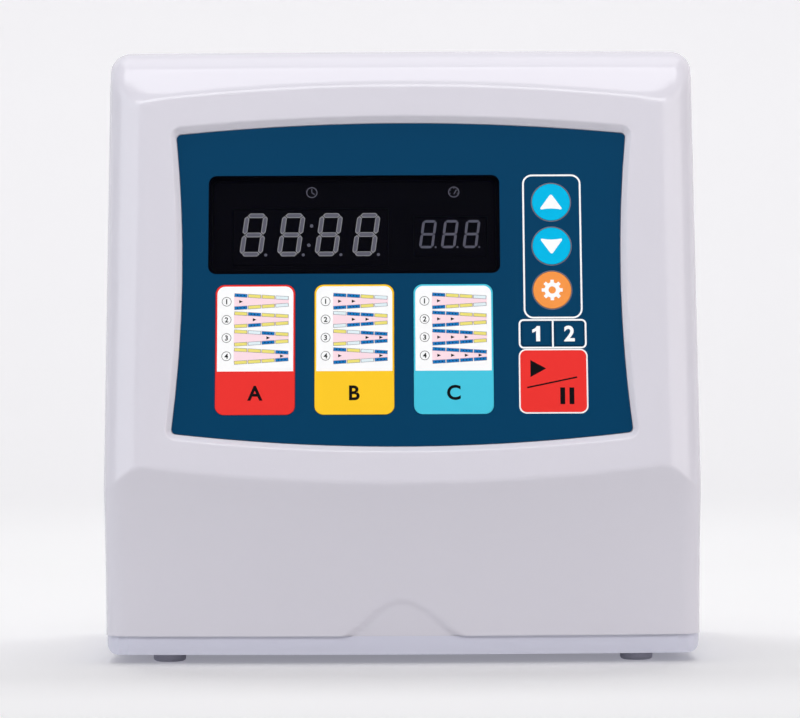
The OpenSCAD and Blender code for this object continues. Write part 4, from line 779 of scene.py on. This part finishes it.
time_dots = [(TIME_PITCH * (i - 1.5) + 5.6, -9.6, 0.7) for i in range(4)]
time_dots += [(0.75, 4.2, 0.8), (-0.55, -5.0, 0.8)]
pressure_dots = [(PRESSURE_PITCH * (i - 1) + 3.5, -6.2, 0.45) for i in range(3)]
module("time_module", "time_display", TIME_X, TIME_SIZE, 4, TIME_PITCH, 20.5, 2.15, 0.52,
       (P_RIM_HIGHLIGHT, P_SEG), time_dots)
module("pressure_module", "pressure_display", PRESSURE_X, PRESSURE_SIZE, 3, PRESSURE_PITCH,
       13.4, 1.15, 0.5, (P_SEG, P_DIM), pressure_dots)
# black mask round the modules, behind the pane
mask = Print(MASK_W, INNER_STEP)
mask.add(move(rounded(131, 43.1, 2.9), -21.8, 121.95), P_MASK, 0,
         holes=[move(rounded(w + 0.2, h + 0.2, 0.6, 3), x, MODULE_V)
                for x, (w, h) in ((TIME_X, TIME_SIZE), (PRESSURE_X, PRESSURE_SIZE))])
mask.build("display_mask")
# a clock mark and a gauge mark over the digits, printed behind the pane
marks = Print(MARK_W, INNER_STEP)
for x in (CLOCK_X, GAUGE_X):
    circle_line(marks, x, MARK_V, 2.6, 2.15, P_SEG, 0, 40)
marks.add(stroke([(CLOCK_X, 140.0), (CLOCK_X, 138.2), (-40.2, 137.4)], 0.4), P_SEG)
marks.add(stroke([(GAUGE_X, 137.2), (25.7, 139.4)], 0.4), P_SEG)
for a in (200, 150, 90, 30, -20):
    c, s = math.cos(math.radians(a)), math.sin(math.radians(a))
    marks.add(stroke([(GAUGE_X + r * c, MARK_V + r * s) for r in (1.5, 2.0)], 0.3), P_SEG)
marks.build("display_marks")

# ---------- Floor, backdrop and light ----------

FLOOR_GLOW, WALL_GLOW = 0.26, 0.54
GLOW_FROM, GLOW_TO = 0.6, 2.4
FLOOR_LIT, BOUNCE = 0.74, 0.95
# cool colour of the painted contact shade on the stage's glow
CONTACT_SHADE = (0.95, 0.95, 1.1)


def stage_material(name):
    """Pale stage: the camera, and glossy or clear surfaces, see a glow that grows from the floor
    to the backdrop, with a painted cool shade close to the object, and the object's shadow
    falls on it."""
    m = bpy.data.materials.new(name)
    m.use_nodes = True
    nodes, links = m.node_tree.nodes, m.node_tree.links
    nodes.clear()
    out = nodes.new("ShaderNodeOutputMaterial")
    at = nodes.new("ShaderNodeSeparateXYZ")
    links.new(nodes.new("ShaderNodeTexCoord").outputs["Object"], at.inputs[0])
    far = ranged(nodes, links, at.outputs["Y"], FLOOR_GLOW, WALL_GLOW, GLOW_FROM, GLOW_TO)
    # painted shade: the glow turns cooler and a little dimmer where ambient occlusion finds the
    # object close by
    shade_ao = nodes.new("ShaderNodeAmbientOcclusion")
    shade_ao.inputs["Distance"].default_value = 0.03
    tint = nodes.new("ShaderNodeMix")
    tint.data_type = "RGBA"
    tint.inputs[6].default_value = (*CONTACT_SHADE, 1)
    tint.inputs[7].default_value = (1, 0.985, 1.02, 1)
    links.new(shade_ao.outputs["AO"], tint.inputs[0])
    emit = nodes.new("ShaderNodeEmission")
    links.new(tint.outputs[2], emit.inputs["Color"])
    links.new(far, emit.inputs["Strength"])
    lit, plain = nodes.new("ShaderNodeBsdfDiffuse"), nodes.new("ShaderNodeBsdfDiffuse")
    lit.inputs["Color"].default_value = (*[FLOOR_LIT] * 3, 1)
    plain.inputs["Color"].default_value = (*[BOUNCE] * 3, 1)
    add, mix = nodes.new("ShaderNodeAddShader"), nodes.new("ShaderNodeMixShader")
    links.new(lit.outputs[0], add.inputs[0])
    links.new(emit.outputs[0], add.inputs[1])
    path = nodes.new("ShaderNodeLightPath")
    seen = path.outputs["Is Camera Ray"]
    for ray in ("Is Glossy Ray", "Is Transmission Ray"):
        both = nodes.new("ShaderNodeMath")
        both.operation = "MAXIMUM"
        links.new(seen, both.inputs[0])
        links.new(path.outputs[ray], both.inputs[1])
        seen = both.outputs[0]
    links.new(seen, mix.inputs[0])
    links.new(plain.outputs[0], mix.inputs[1])
    links.new(add.outputs[0], mix.inputs[2])
    links.new(mix.outputs[0], out.inputs["Surface"])
    return m


def cove():
    """Floor that curves up into a backdrop, all one sheet."""
    bend_y, r = 1.6, 0.9
    profile = [(-4.0, 0.0)]
    profile += [(bend_y + r * math.sin(a), r - r * math.cos(a))
                for a in np.linspace(0, math.pi / 2, 25)]
    profile.append((bend_y + r, 4.0))
    verts = [(x, y, z) for x in (-5.0, 5.0) for y, z in profile]
    n = len(profile)
    faces = [(i, n + i, n + i + 1, i + 1) for i in range(n - 1)]
    mesh = bpy.data.meshes.new("stage_cove")
    mesh.from_pydata(verts, [], faces)
    mesh.polygons.foreach_set("use_smooth", [True] * len(mesh.polygons))
    mesh.materials.append(stage_material("Stage"))
    o = bpy.data.objects.new("stage_cove", mesh)
    bpy.context.scene.collection.objects.link(o)
    return o


stage = cove()


def lamp(name, at, to, size, power, colour=(1, 1, 1)):
    data = bpy.data.lights.new(name, "AREA")
    data.shape, data.size, data.size_y = "RECTANGLE", size[0], size[1]
    data.energy, data.color = power, colour
    o = bpy.data.objects.new(name, data)
    bpy.context.scene.collection.objects.link(o)
    o.location = at
    o.rotation_euler = (Vector(to) - Vector(at)).to_track_quat("-Z", "Y").to_euler()
    return o


AIM = (0, 0, 0.15)
front = [lamp("Strip", (0, -1.15, 1.45), (0, 0, 0.22), (2.4, 0.34), 12),
         lamp("Left", (-1.6, -0.85, 0.7), AIM, (1.6, 1.5), 11.8, (0.93, 0.975, 1)),
         lamp("Right", (1.6, -0.85, 0.7), AIM, (1.6, 1.5), 12.4, (1, 0.975, 0.95)),
         lamp("Rim", (0, 0.5, 1.75), AIM, (1.6, 0.8), 4.5)]
lamp("Top", (0, -0.15, 1.9), (0, 0, 0.1), (1.8, 0.25), 5)
back = lamp("Back", (0, 0.62, 1.7), (0, 0, 0.05), (1.4, 0.5), 16)
# the back lamp lights the stage alone, and those in front all but the stage, so that the
# object's shadow on the floor stays clear
for state, lights in (("EXCLUDE", front), ("INCLUDE", [back])):
    linked = bpy.data.collections.new("Stage_" + state.lower())
    linked.objects.link(stage)
    for light in lights:
        light.light_linking.receiver_collection = linked
    linked.collection_objects[0].light_linking.link_state = state

world = bpy.data.worlds.new("World")
bpy.context.scene.world = world
world.use_nodes = True
sky = world.node_tree.nodes["Background"]
sky.inputs["Color"].default_value = (0.93, 0.92, 0.95, 1)
sky.inputs["Strength"].default_value = 0.36
bpy.context.scene.view_settings.view_transform = "Standard"
